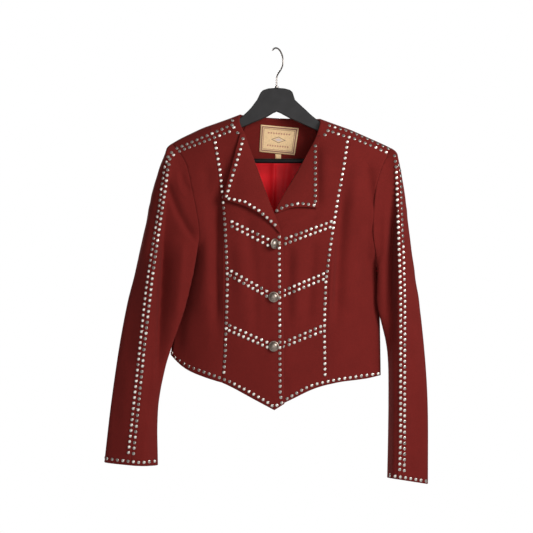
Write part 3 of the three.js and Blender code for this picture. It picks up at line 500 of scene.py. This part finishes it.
def fold_field(folds, xs, zs):
    """How far the folds sink the cloth at places on the jacket's plane."""
    total = np.zeros(len(xs))
    for fold in folds:
        points = [on_plane(*place) for place in fold.path]
        lengths = [math.dist(points[i], points[i + 1]) for i in range(len(points) - 1)]
        nearest = np.full(len(xs), 1e9)
        offset = np.zeros(len(xs))
        share = np.zeros(len(xs))
        gone = 0.0
        for (x0, z0), (x1, z1), length in zip(points, points[1:], lengths):
            run_x = (x1 - x0) / length
            run_z = (z1 - z0) / length
            along = np.clip((xs - x0) * run_x + (zs - z0) * run_z, 0.0, length)
            dx = xs - x0 - run_x * along
            dz = zs - z0 - run_z * along
            away = np.hypot(dx, dz)
            closer = away < nearest
            nearest = np.where(closer, away, nearest)
            offset = np.where(closer, np.copysign(away, run_x * dz - run_z * dx), offset)
            share = np.where(closer, (gone + along) / sum(lengths), share)
            gone += length
        width = np.where(offset > 0.0, fold.right, fold.left) * PIXEL
        fade = soft_steps(share / FOLD_FADE) * soft_steps((1.0 - share) / FOLD_FADE)
        total += fold.depth * 0.001 * np.exp(-((offset / width) ** 2)) * fade
    return total


def soft_steps(values):
    values = np.clip(values, 0.0, 1.0)
    return values * values * (3.0 - 2.0 * values)


# How fast the unevenness of hung cloth changes across, in depth and down, and its height.
RIPPLE_RATES = (22.0, 9.0, 7.0)
RIPPLE_RISE = 0.0012


def ripples(points):
    return np.array([noise.noise(Vector(place)) for place in points * RIPPLE_RATES]) * RIPPLE_RISE


def seen_places(points):
    """Where points show on the jacket's plane, from the camera."""
    camera = camera_place()
    share = CAMERA_DISTANCE / (points[:, 1] - camera.y)
    return camera.x + (points[:, 0] - camera.x) * share, camera.z + (points[:, 2] - camera.z) * share


# Cloth

# The inside of each tube of cloth runs along this line: x, y, z at its top and at its foot.
TUBES = {
    "body": ((0.0, -0.005, -0.25), (0.0, -0.005, -0.66)),
    "right": ((-0.205, -0.003, -0.26), (-0.290, -0.014, -0.83)),
    "left": ((0.222, -0.002, -0.27), (0.262, -0.010, -0.865)),
}


# The left sleeve's inner edge rests on the front's side from this height to that. It is drawn in by
# TUCK, which fades over these lengths across, in depth, from the top and from the foot.
TUCK_TOP = -0.405
TUCK_FOOT = -0.545
TUCK_RIGHT = 0.222
TUCK = 0.0045
TUCK_FADES = (0.014, 0.012, 0.03, 0.05)


def tube_of(node):
    if not node.startswith("sleeve"):
        return "body"
    return "right" if "right" in node else "left"


def tube_place(tube, z):
    top, foot = TUBES[tube]
    share = min(1.0, max(-0.1, (z - top[2]) / (foot[2] - top[2])))
    return Vector(top).lerp(Vector(foot), share)


# The body is far wider than deep, so its breadth counts for this share of its depth.
BODY_BREADTH_SHARE = 0.25


def away_from_tube(tube, point):
    middle = tube_place(tube, point.z)
    away = point - middle
    if tube == "body":
        away.x *= BODY_BREADTH_SHARE
    away.z = max(0.0, away.z)
    return away


# A face of the cloth's cut edge is no wider or larger than this, and turns at least so many degrees
# from its neighbours.
RIM_WIDTH = 0.0034
RIM_AREA = 2.2e-4
RIM_TURN = 48.0


def is_rim(face):
    narrow = min(edge.calc_length() for edge in face.edges) < RIM_WIDTH
    return narrow and face.calc_area() < RIM_AREA


# The cut edge of a cloth piece is drawn out by this on its outer and its inner side, so that the
# seams meet inside and show as a shallow groove.
SEAM_OUTER = 0.00020
SEAM_INNER = 0.00085


def close_seams(bm, crease, tube):
    """Draws the cut edges out until neighbouring pieces meet."""
    moves = {}
    for face in bm.faces:
        if sum(1 for edge in face.edges if edge[crease] > 0.5) < 2 or not is_rim(face):
            continue
        for vertex in face.verts:
            moves.setdefault(vertex, Vector())
            moves[vertex] += face.normal
    for vertex, direction in moves.items():
        direction.normalize()
        sides = [face.normal for face in vertex.link_faces if face.normal.dot(direction) < 0.5]
        surface = sum(sides, Vector())
        outer = surface.dot(away_from_tube(tube, vertex.co)) > 0.0
        vertex.co += direction * (SEAM_OUTER if outer else SEAM_INNER)


def copy_of_node(node):
    """A merged copy of a CAD node's mesh, in quads where its triangles pair up."""
    bm = bmesh.new()
    bm.from_mesh(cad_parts[node].data)
    bmesh.ops.remove_doubles(bm, verts=bm.verts, dist=2e-5)
    bmesh.ops.join_triangles(
        bm, faces=bm.faces, angle_face_threshold=math.radians(60.0),
        angle_shape_threshold=math.radians(50.0))
    crease = bm.edges.layers.float.new("crease_edge")
    for edge in bm.edges:
        if len(edge.link_faces) == 2 and edge.calc_face_angle(0.0) > math.radians(RIM_TURN):
            if is_rim(edge.link_faces[0]) or is_rim(edge.link_faces[1]):
                edge[crease] = 1.0
    if node in SHOWN_CLOTH + SLEEVE_CLOTH:
        close_seams(bm, crease, tube_of(node))
    return bm


def smoothed(obj, levels):
    """Bakes a Subdivision Surface into the object's mesh."""
    modifier = obj.modifiers.new("Smooth cloth", "SUBSURF")
    modifier.levels = levels
    modifier.render_levels = levels
    modifier.boundary_smooth = "PRESERVE_CORNERS"
    graph = bpy.context.evaluated_depsgraph_get()
    mesh = bpy.data.meshes.new_from_object(obj.evaluated_get(graph))
    obj.modifiers.clear()
    old = obj.data
    obj.data = mesh
    bpy.data.meshes.remove(old)
    mesh.name = obj.name


# The wool facing inside the neck and along the front edges reaches this far.
FACING_FOOT = -0.200
FACING_SIDE = 0.055


def is_faced(node, place):
    if node.startswith("sleeve"):
        return False
    if place.z > FACING_FOOT:
        return True
    return node.startswith("front_centre") and abs(place.x) < FACING_SIDE


# The front's folds give way to the back's within this depth. The back hangs smoother than the
# buttoned front, and the shoulders, down to here, lie smooth on the hanger.
TURN_DEPTH = 0.012
REAR_FOLD_SHARE = 0.7
SMOOTH_FOOT = -0.135
SMOOTH_FADE = 0.07
# The back's folds are the front's, mirrored about this place.
MIRROR_X = -0.003


def hang(points, tube, folds):
    """Gives places on the cloth its small folds: those seen on the front, and alike on the back."""
    depth = bpy.context.scene.jacket_cloth.fold_depth
    top, foot = TUBES[tube]
    down = np.clip((points[:, 2] - top[2]) / (foot[2] - top[2]), -0.1, 1.0)
    middle_y = top[1] + (foot[1] - top[1]) * down
    facing = soft_steps(0.5 + 0.5 * (middle_y - points[:, 1]) / TURN_DEPTH)
    xs, zs = seen_places(points)
    sway = ripples(points)
    front = fold_field(folds, xs, zs) * depth + sway
    rear = fold_field(folds, 2.0 * MIRROR_X - xs, zs) * depth * REAR_FOLD_SHARE + sway
    calm = soft_steps((SMOOTH_FOOT - points[:, 2]) / SMOOTH_FADE)
    points[:, 1] += (front * facing - rear * (1.0 - facing)) * calm


def points_of(mesh):
    flat = np.empty(len(mesh.vertices) * 3)
    mesh.vertices.foreach_get("co", flat)
    return flat.reshape(-1, 3)


def start_sheet(node, levels):
    """A smooth copy of a node, and its places."""
    obj = object_from(copy_of_node(node), node + "_cloth")
    smoothed(obj, levels)
    return obj, points_of(obj.data)


def finish_sheet(obj, node, points, finishes):
    """Sets one cloth piece's places and finishes, and says what it was cut to."""
    obj.data.vertices.foreach_set("co", points.ravel())
    obj.data.update()
    obj.data.materials.clear()
    for finish in finishes:
        obj.data.materials.append(finish_of(finish))
    shade_smooth(obj)
    ride_as(obj)
    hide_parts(node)


def tuck_in(points):
    """Draws the left sleeve's front edge in, to the front's side."""
    across, deep, above, below = TUCK_FADES
    near = soft_steps((TUCK_RIGHT - points[:, 0]) / across) * soft_steps(-points[:, 1] / deep)
    under_top = soft_steps((TUCK_TOP - points[:, 2]) / above)
    over_foot = soft_steps((points[:, 2] - TUCK_FOOT) / below)
    points[:, 0] -= TUCK * near * (under_top * over_foot)


def sew(node, folds, inside, levels):
    """Makes one cloth piece from its node: smooth, folded, with the lining's finish inside."""
    obj, points = start_sheet(node, levels)
    tube = tube_of(node)
    hang(points, tube, folds)
    if tube == "left":
        tuck_in(points)
    finishes = ["wool", inside] if inside else ["wool"]
    finish_sheet(obj, node, points, finishes)
    if inside:
        for polygon in obj.data.polygons:
            inner = polygon.normal.dot(away_from_tube(tube, polygon.center)) < 0.0
            if inner and not is_faced(node, polygon.center):
                polygon.material_index = 1


def plain_sheet(node, finish, levels, folds=()):
    """Makes a piece that lies on the back's inner side and hangs with it."""
    obj, points = start_sheet(node, levels)
    hang(points, "body", BODY_FOLDS)
    points[:, 1] += fold_field(folds, *seen_places(points))
    finish_sheet(obj, node, points, [finish])
    return obj


class JACKET_OT_body(bpy.types.Operator):
    """Makes the fronts and the back"""
    bl_idname = "jacket.body"
    bl_label = "Fronts and Back"

    def execute(self, context):
        for node in SHOWN_CLOTH:
            sew(node, BODY_FOLDS, "satin", context.scene.jacket_cloth.smooth_levels)
        return {"FINISHED"}


class JACKET_OT_sleeves(bpy.types.Operator):
    """Makes the two-piece sleeves"""
    bl_idname = "jacket.sleeves"
    bl_label = "Sleeves"

    def execute(self, context):
        for node in SLEEVE_CLOTH:
            sew(node, SLEEVE_FOLDS, "satin", context.scene.jacket_cloth.smooth_levels)
        return {"FINISHED"}


class JACKET_OT_revers(bpy.types.Operator):
    """Makes the folded-back revers"""
    bl_idname = "jacket.revers"
    bl_label = "Revers"

    def execute(self, context):
        for node in REVERS_CLOTH:
            sew(node, REVERS_FOLDS, None, context.scene.jacket_cloth.smooth_levels)
        return {"FINISHED"}


def map_label(label):
    """Lays a UV map over the label, square between its four corners, by closing in on each place."""
    xs, zs = seen_places(points_of(label.data))
    upper_left, upper_right, lower_right, lower_left = (
        Vector((xs[index], zs[index]))
        for index in (np.argmax(zs - xs), np.argmax(zs + xs), np.argmax(xs - zs), np.argmin(xs + zs)))
    layer = label.data.uv_layers.new(name="label")
    for loop in label.data.loops:
        spot = Vector((xs[loop.vertex_index], zs[loop.vertex_index]))
        across = up = 0.5
        for _ in range(6):
            left = lower_left.lerp(upper_left, up)
            right = lower_right.lerp(upper_right, up)
            across = (spot.x - left.x) / (right.x - left.x)
            foot = lower_left.lerp(lower_right, across)
            head = upper_left.lerp(upper_right, across)
            up = (spot.y - foot.y) / (head.y - foot.y)
        layer.data[loop.index].uv = (across, up)


class JACKET_OT_inside(bpy.types.Operator):
    """Makes the back neck facing, the lining, the label and its size tab"""
    bl_idname = "jacket.inside"
    bl_label = "Facing, Lining and Label"

    def execute(self, context):
        plain_sheet("back_neck_facing", "wool", 2)
        plain_sheet("back_lining", "satin", 3, LINING_FOLDS)
        label = plain_sheet("neck_label", "label", 2)
        map_label(label)
        plain_sheet("size_tab", "ribbon", 1)
        return {"FINISHED"}


# Studs. Each row runs through places seen from the front, in photograph pixels; the third number
# is the share of its studs that stand square to the light there.
FRONT_ROWS = {
    "shoulder_right_upper": ((232, 125, 0.2), (177, 148.5, 0.1)),
    "shoulder_right_lower": ((229.4, 131.7, 0.3), (179.5, 151.3, 0.1)),
    "shoulder_left_upper": (
        (329.4, 125.7, 0.3), (333.6, 127.3, 0.2), (352, 132.4, 0.1), (372, 141, 0.1), (388, 148.6, 0.1)),
    "shoulder_left_lower": (
        (332.8, 132.1, 0.8), (342.3, 135.4, 0.8), (353.5, 138.4, 0.2), (372, 146, 0.2), (386, 152.4, 0.1)),
    "neck_right": ((232.6, 120.8, 0.1), (232.8, 125.3, 0.2), (234.4, 129.3, 0.2), (237.5, 132.9, 0.2)),
    "neck_left": ((329.4, 125.7, 0.2), (328, 130.6, 0.2), (324.9, 134.9, 0.2)),
    "princess_right": (
        (214.3, 137.3, 1.0), (219.8, 170.4, 0.9), (222.3, 192, 0.4), (224.5, 217.4, 0.1),
        (226.2, 249.6, 0.1), (227.4, 279, 0.1), (226.6, 312, 0.1), (225.3, 351, 0.2), (223.9, 372.3, 0.3)),
    "princess_left": (
        (348.1, 136.6, 0.9), (343.8, 166.3, 0.7), (337.9, 198.5, 0.9), (333.4, 225.7, 0.3),
        (330, 248.8, 0.1), (325.8, 282, 0.1), (324.6, 314, 0.4), (324.4, 335, 1.0), (325, 374.6, 1.0)),
    "chevron_right_1": ((226.7, 219.1, 0.9), (267.8, 239.1, 0.9)),
    "chevron_right_2": ((227, 223.8, 0.8), (267.8, 245.2, 1.0)),
    "chevron_right_3": ((231.4, 271.1, 0.8), (266.6, 291, 0.6)),
    "chevron_right_4": ((230.1, 275.6, 0.5), (266.4, 296, 0.7)),
    "chevron_right_5": ((229.7, 325.4, 0.9), (266.8, 342.2, 1.0)),
    "chevron_right_6": ((229.2, 330.5, 0.9), (267.2, 347, 1.0)),
    "chevron_left_1": ((286.1, 238.3, 0.3), (331.1, 221.6, 0.9)),
    "chevron_left_2": ((285.3, 243.7, 0.3), (330, 227.2, 0.9)),
    "chevron_left_3": ((284.5, 290.2, 0.2), (323.3, 273.8, 0.7)),
    "chevron_left_4": ((284.4, 295.4, 0.3), (323.2, 279.4, 0.7)),
    "chevron_left_5": ((284.2, 342.1, 0.2), (320.5, 326.5, 0.4)),
    "chevron_left_6": ((283.8, 346.6, 0.2), (320.5, 332, 0.5)),
    "front_edge": ((279.2, 237, 0.2), (280.1, 392, 0.15), (281.7, 402.8, 0.5)),
    "hem_right": (
        (172, 352.8, 0.1), (175.2, 357.7, 0.1), (181.7, 362.1, 0.2), (189.5, 366.6, 0.3),
        (208.5, 373.5, 0.2), (228.5, 380.9, 0.6), (249, 391.6, 1.0), (266.1, 401.2, 1.0),
        (273.7, 406.8, 1.0), (281.7, 402.8, 0.8)),
    "hem_left": (
        (287, 398.6, 0.1), (304.7, 388.3, 0.1), (314.4, 384.3, 0.5), (336.6, 379.5, 0.9),
        (357.6, 376.4, 1.0), (378, 373.6, 0.8)),
}
REVERS_ROWS = {
    "revers_right": (
        (242.9, 138.7, 0.1), (240.6, 148.8, 0.6), (225.7, 198.3, 1.0), (231.3, 198.9, 1.0),
        (245.3, 201.8, 1.0), (259.5, 211, 0.7), (275, 224.8, 0.1)),
    "revers_left": (
        (315.3, 146, 0.1), (315.3, 205.4, 0.4), (310.2, 204.5, 0.4), (300, 203.2, 0.3),
        (286, 205.8, 0.2), (276.8, 210.6, 0.1)),
}
SLEEVE_ROWS = {
    "sleeve_right_outer": (
        (171.5, 152.5, 0.1), (168, 157, 0.1), (164.6, 168, 0.1), (162.3, 183, 0.4), (161, 192, 1.0),
        (159, 207, 0.3), (152, 250, 0.1), (150, 264, 0.8), (146, 290.5, 1.0), (128.5, 452.5, 0.9)),
    "sleeve_right_inner": (
        (173.5, 155, 0.1), (169.5, 159.5, 0.1), (167.6, 170, 0.1), (165.4, 188.5, 1.0),
        (162, 210, 0.2), (155, 258, 0.1), (152, 280, 1.0), (149, 306, 0.8), (144, 350, 0.2),
        (133.6, 453.5, 0.2)),
    "sleeve_left_inner": (
        (394.5, 156, 0.1), (396, 166, 0.4), (396.5, 176.7, 1.0), (400.6, 297, 1.0),
        (400.5, 440, 1.0), (399.6, 469.5, 0.6)),
    "sleeve_left_outer": (
        (397, 160, 0.1), (399.6, 168, 0.3), (400.6, 176.7, 1.0), (404.7, 297, 1.0),
        (404.6, 380, 0.8), (404.5, 440, 0.3), (404.2, 470.5, 0.9)),
    "cuff_right_front": ((107, 458.6, 0.1), (125, 460.8, 0.4), (141, 462.6, 0.8), (154.5, 461, 0.3)),
    "cuff_left_front": ((390, 475.4, 0.4), (405, 477.6, 1.0), (426, 481, 0.1)),
}
# Rows of the hidden side, as x and z in millimetres on the jacket's plane, with the same share.
BACK_ROWS = {
    "hem_back": ((-206, -606, 0.5), (-150, -620, 0.5), (0, -640, 0.5), (140, -642, 0.5), (203, -644, 0.5)),
    "neck_back": ((-62, -146, 0.3), (-40, -149, 0.4), (4, -151, 0.4), (52, -152.5, 0.4), (76, -153, 0.3)),
}
BACK_SLEEVE_ROWS = {
    "cuff_right_back": ((-341, -816, 0.5), (-290, -820, 0.5), (-240, -823, 0.5)),
    "cuff_left_back": ((226, -849, 0.5), (262, -856, 0.5), (299, -861, 0.5)),
}


def walk(points, pitch):
    """Places at an even pitch along a line of points."""
    spots = []
    total = sum((points[i + 1] - points[i]).xy.length for i in range(len(points) - 1))
    count = max(1, round(total / pitch))
    for step in range(count + 1):
        left = total * step / count
        for i in range(len(points) - 1):
            length = (points[i + 1] - points[i]).xy.length
            if left <= length or i == len(points) - 2:
                spots.append(points[i].lerp(points[i + 1], min(1.0, left / length)))
                break
            left -= length
    return spots


def tree_of(names):
    bm = bmesh.new()
    for name in names:
        bm.from_mesh(bpy.data.objects[name + "_cloth"].data)
    tree = BVHTree.FromBMesh(bm)
    bm.free()
    return tree


def seat_from_front(tree, spot):
    camera = camera_place()
    target = Vector((spot.x, 0.0, spot.y))
    place, normal, _, _ = tree.ray_cast(camera, (target - camera).normalized())
    return place, normal


def seat_from_back(tree, spot):
    place, normal, _, _ = tree.ray_cast(Vector((spot.x, 1.0, spot.y)), Vector((0.0, -1.0, 0.0)))
    return place, normal


# Half of a stud's outline: radius as a share of its half width, height as a share of its rise.
STUD_PROFILE = (
    (0.00, 1.00), (0.52, 0.985), (0.78, 0.93), (0.90, 0.79), (0.97, 0.50), (1.00, 0.12),
    (0.97, -0.45),
)
STUD_SIDES = 12
# A stud seldom lies quite square: this is how far it tilts at random, and how far those that
# don't catch the light lean from it, in degrees.
STUD_WOBBLE = 2.5
STUD_LEAN = (9.0, 17.0)
# Where the cloth's normal faces the front by less than this, no stud stands square to the light.
STUD_TURN = 0.62
# Two studs keep at least this share of a diameter between their middles.
STUD_GAP = 0.85
STUD_SEED = 11


def turned_shape(profile, across, up, sides):
    """A bmesh of a profile of radii and heights, turned about the z axis."""
    bm = bmesh.new()
    ring = [bm.verts.new((radius * across, 0.0, height * up)) for radius, height in profile]
    edges = [bm.edges.new(pair) for pair in zip(ring, ring[1:])]
    bmesh.ops.spin(
        bm, geom=ring + edges, cent=(0, 0, 0), axis=(0, 0, 1), angle=math.tau, steps=sides,
        use_merge=True)
    bmesh.ops.remove_doubles(bm, verts=bm.verts, dist=1e-6)
    bmesh.ops.recalc_face_normals(bm, faces=bm.faces)
    return bm


def stud_pattern(trim):
    """One low nailhead stud, standing on the origin."""
    bm = turned_shape(STUD_PROFILE, trim.diameter / 2, trim.rise, STUD_SIDES)
    if sum(face.normal.z for face in bm.faces) < 0.0:
        bmesh.ops.reverse_faces(bm, faces=bm.faces)
    mesh = bpy.data.meshes.new("stud_pattern")
    bm.to_mesh(mesh)
    bm.free()
    return mesh


def stud_normal(normal, shine, chance):
    """The way a stud faces: square to the front light, or leaning from it with the cloth."""
    front = Vector((0.0, -1.0 if normal.y < 0.0 else 1.0, 0.0))
    if chance.random() < shine and normal.dot(front) > STUD_TURN:
        facing = front
        lean = 0.0
    else:
        facing = normal
        lean = math.radians(chance.uniform(*STUD_LEAN))
    facing = Matrix.Rotation(lean if facing.y > 0.0 else -lean, 3, "Z") @ facing
    wobble = math.radians(STUD_WOBBLE)
    facing = Matrix.Rotation(chance.gauss(0.0, wobble), 3, "X") @ facing
    return Matrix.Rotation(chance.gauss(0.0, wobble), 3, "Z") @ facing


def stud_piece(context, name, rows, tree, seat, from_photo=True):
    trim = context.scene.stud_trim
    pattern = stud_pattern(trim)
    chance = random.Random(len(rows) + STUD_SEED)
    bm = bmesh.new()
    placed = []
    for row in rows.values():
        if from_photo:
            points = [Vector((*on_plane(px, py), shine)) for px, py, shine in row]
        else:
            points = [Vector((x * 0.001, z * 0.001, shine)) for x, z, shine in row]
        for spot in walk(points, trim.pitch):
            place, normal = seat(tree, spot)
            if place is None:
                continue
            if any((place - other).length < trim.diameter * STUD_GAP for other in placed):
                continue
            placed.append(place)
            facing = stud_normal(normal, spot.z, chance)
            turn = facing.to_track_quat("Z", "Y").to_matrix().to_4x4()
            first = len(bm.verts)
            bm.from_mesh(pattern)
            bm.verts.ensure_lookup_table()
            bmesh.ops.transform(bm, matrix=Matrix.Translation(place) @ turn, verts=bm.verts[first:])
    bpy.data.meshes.remove(pattern)
    obj = object_from(bm, name)
    obj.data.materials.append(finish_of("stud"))
    shade_smooth(obj)
    ride_as(obj)
    return obj


class JACKET_OT_studs(bpy.types.Operator):
    """Sets the rows of studs on the cloth"""
    bl_idname = "jacket.studs"
    bl_label = "Studs"

    def execute(self, context):
        body = tree_of(SHOWN_CLOTH)
        revers = tree_of(REVERS_CLOTH)
        sleeves = tree_of(SLEEVE_CLOTH)
        stud_piece(context, "studs_front", FRONT_ROWS, body, seat_from_front)
        stud_piece(context, "studs_revers", REVERS_ROWS, revers, seat_from_front)
        stud_piece(context, "studs_sleeves", SLEEVE_ROWS, sleeves, seat_from_front)
        stud_piece(context, "studs_back", BACK_ROWS, body, seat_from_back, False)
        stud_piece(context, "studs_cuffs_back", BACK_SLEEVE_ROWS, sleeves, seat_from_back, False)
        return {"FINISHED"}


# Buttons: half of the profile as radius and height, in shares of the diameter.
BUTTON_PROFILE = (
    (0.00, 0.00), (0.34, 0.00), (0.46, 0.035), (0.50, 0.075), (0.495, 0.115), (0.455, 0.135),
    (0.425, 0.125), (0.40, 0.160), (0.34, 0.235), (0.24, 0.295), (0.12, 0.322), (0.00, 0.330),
)
BUTTON_SIDES = 40
# How far each button turns on its shank, in degrees, and how far a quarter turn would carry it
# sideways and forwards. It sinks a little into its seat.
BUTTON_TURNS = {"button_1": 40.0, "button_2": 0.0, "button_3": 0.0}
BUTTON_SIDEWAYS = 0.0035
BUTTON_FORWARDS = 0.0065
BUTTON_SINK = 0.0005
# The buttonholes' thread ends, in photograph pixels, and the half size of one.
THREAD_ENDS = ((279.0, 244.6), (279.0, 296.2), (279.0, 347.4))
THREAD_HALF = (0.0042, 0.0007, 0.0010)
THREAD_RISE = 0.0003


class JACKET_OT_buttons(bpy.types.Operator):
    """Makes the three domed buttons and the thread ends of their buttonholes"""
    bl_idname = "jacket.buttons"
    bl_label = "Buttons"

    def execute(self, context):
        buttons = context.scene.button_set
        body = tree_of(SHOWN_CLOTH)
        for node, turn in BUTTON_TURNS.items():
            low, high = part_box(node)
            bm = turned_shape(BUTTON_PROFILE, buttons.diameter, buttons.diameter, BUTTON_SIDES)
            obj = object_from(bm, node + "_dome")
            spin = math.radians(turn)
            seat = Vector((
                (low[0] + high[0]) / 2 - BUTTON_SIDEWAYS * math.sin(spin),
                high[1] - BUTTON_SINK - BUTTON_FORWARDS * math.sin(spin),
                (low[2] + high[2]) / 2))
            facing = Matrix.Rotation(spin, 4, "Z") @ Matrix.Rotation(math.radians(90.0), 4, "X")
            obj.data.transform(Matrix.Translation(seat) @ facing)
            obj.data.materials.append(finish_of("button"))
            shade_smooth(obj)
            ride_as(obj)
            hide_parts(node)
        bm = bmesh.new()
        shape = Matrix.Diagonal((*THREAD_HALF, 1.0))
        for end in THREAD_ENDS:
            place, normal = seat_from_front(body, Vector(on_plane(*end)))
            where = Matrix.Translation(place + normal * THREAD_RISE) @ shape
            bmesh.ops.create_uvsphere(bm, u_segments=12, v_segments=8, radius=1.0, matrix=where)
        thread = object_from(bm, "buttonhole_threads")
        thread.data.materials.append(finish_of("thread"))
        shade_smooth(thread)
        ride_as(thread)
        return {"FINISHED"}


class JACKET_OT_hanger(bpy.types.Operator):
    """Finishes the hanger, its bar and its hook"""
    bl_idname = "jacket.hanger"
    bl_label = "Hanger"

    def execute(self, context):
        for node, finish in (("hanger_body", "hanger"), ("hanger_bar", "bar")):
            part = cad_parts[node]
            part.data.materials.clear()
            part.data.materials.append(finish_of(finish))
        hook = object_from(copy_of_node("hanger_hook"), "hook_wire")
        smoothed(hook, 2)
        hook.data.materials.clear()
        hook.data.materials.append(finish_of("hook"))
        shade_smooth(hook)
        ride_as(hook)
        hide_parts("hanger_hook")
        return {"FINISHED"}


# Studio

LIGHT_AIM = (0.0, 0.0, -0.42)
KEY_PLACE = (1.1, -1.3, 0.22)
FRONT_PLACE = (0.0, -3.3, -0.40)
REAR_PLACE = (-0.9, 2.3, 0.5)
# The white world behind the jacket lights it only this much.
WORLD_LIGHT = 0.22
FLOOR_HALF = 2.4


def area_light(name, place, size, power):
    light = bpy.data.lights.new(name, "AREA")
    light.shape = "SQUARE"
    light.size = size
    light.energy = power
    obj = link(bpy.data.objects.new(name, light))
    obj.location = place
    obj.rotation_euler = (Vector(LIGHT_AIM) - Vector(place)).to_track_quat("-Z", "Y").to_euler()
    return obj


class JACKET_OT_studio(bpy.types.Operator):
    """Sets the floor, the soft lights and the camera"""
    bl_idname = "jacket.studio"
    bl_label = "Studio"

    def execute(self, context):
        studio = context.scene.studio_set
        bm = bmesh.new()
        bmesh.ops.create_grid(bm, x_segments=1, y_segments=1, size=FLOOR_HALF)
        bmesh.ops.translate(bm, verts=bm.verts, vec=(0.0, 0.0, -studio.floor_drop))
        floor = object_from(bm, "studio_floor")
        material = start_material("pale_floor")[0]
        shader = material.node_tree.nodes["Principled BSDF"]
        shader.inputs["Base Color"].default_value = (0.86, 0.86, 0.86, 1.0)
        shader.inputs["Roughness"].default_value = 0.9
        floor.data.materials.append(material)
        world = bpy.data.worlds.new("soft_white")
        world.use_nodes = True
        tree = world.node_tree
        soft = tree.nodes["Background"]
        soft.inputs["Color"].default_value = (1.0, 0.99, 0.98, 1.0)
        soft.inputs["Strength"].default_value = WORLD_LIGHT
        plain = tree.nodes.new("ShaderNodeBackground")
        plain.inputs["Color"].default_value = (1.0, 1.0, 1.0, 1.0)
        plain.inputs["Strength"].default_value = 1.0
        path = tree.nodes.new("ShaderNodeLightPath")
        either = tree.nodes.new("ShaderNodeMixShader")
        tree.links.new(path.outputs["Is Camera Ray"], either.inputs[0])
        tree.links.new(soft.outputs[0], either.inputs[1])
        tree.links.new(plain.outputs[0], either.inputs[2])
        tree.links.new(either.outputs[0], tree.nodes["World Output"].inputs["Surface"])
        context.scene.world = world
        context.scene.view_settings.view_transform = "Standard"
        area_light("key_light", KEY_PLACE, 0.8, studio.key_power)
        area_light("front_light", FRONT_PLACE, 2.0, studio.fill_power)
        area_light("rear_light", REAR_PLACE, 1.4, studio.rear_power)
        camera = bpy.data.cameras.new("front_camera")
        camera.sensor_fit = "HORIZONTAL"
        camera.sensor_width = SENSOR
        camera.lens = SENSOR * CAMERA_DISTANCE / VIEW_WIDTH
        holder = link(bpy.data.objects.new("front_camera", camera))
        holder.location = camera_place()
        holder.rotation_euler = (math.radians(90.0), 0.0, 0.0)
        context.scene.camera = holder
        return {"FINISHED"}


class JACKET_PT_panel(bpy.types.Panel):
    """Lists the steps that dress the jacket"""
    bl_idname = "JACKET_PT_panel"
    bl_label = "Jacket"
    bl_space_type = "VIEW_3D"
    bl_region_type = "UI"
    bl_category = "Jacket"

    def draw(self, context):
        for step in STEPS:
            self.layout.operator(step.bl_idname)


STEPS = (
    JACKET_OT_body, JACKET_OT_sleeves, JACKET_OT_revers, JACKET_OT_inside, JACKET_OT_studs,
    JACKET_OT_buttons, JACKET_OT_hanger, JACKET_OT_studio,
)
GROUPS = {
    "jacket_cloth": JacketCloth, "stud_trim": StudTrim, "button_set": ButtonSet,
    "hanger_finish": HangerFinish, "studio_set": StudioSet,
}


def register():
    for name, group in GROUPS.items():
        bpy.utils.register_class(group)
        setattr(bpy.types.Scene, name, PointerProperty(type=group))
    for step in STEPS:
        bpy.utils.register_class(step)
    bpy.utils.register_class(JACKET_PT_panel)


def unregister():
    bpy.utils.unregister_class(JACKET_PT_panel)
    for step in reversed(STEPS):
        bpy.utils.unregister_class(step)
    for name, group in GROUPS.items():
        delattr(bpy.types.Scene, name)
        bpy.utils.unregister_class(group)


def main():
    register()
    bpy.ops.jacket.body()
    bpy.ops.jacket.sleeves()
    bpy.ops.jacket.revers()
    bpy.ops.jacket.inside()
    bpy.ops.jacket.studs()
    bpy.ops.jacket.buttons()
    bpy.ops.jacket.hanger()
    bpy.ops.jacket.studio()


if __name__ == "__main__":
    main()
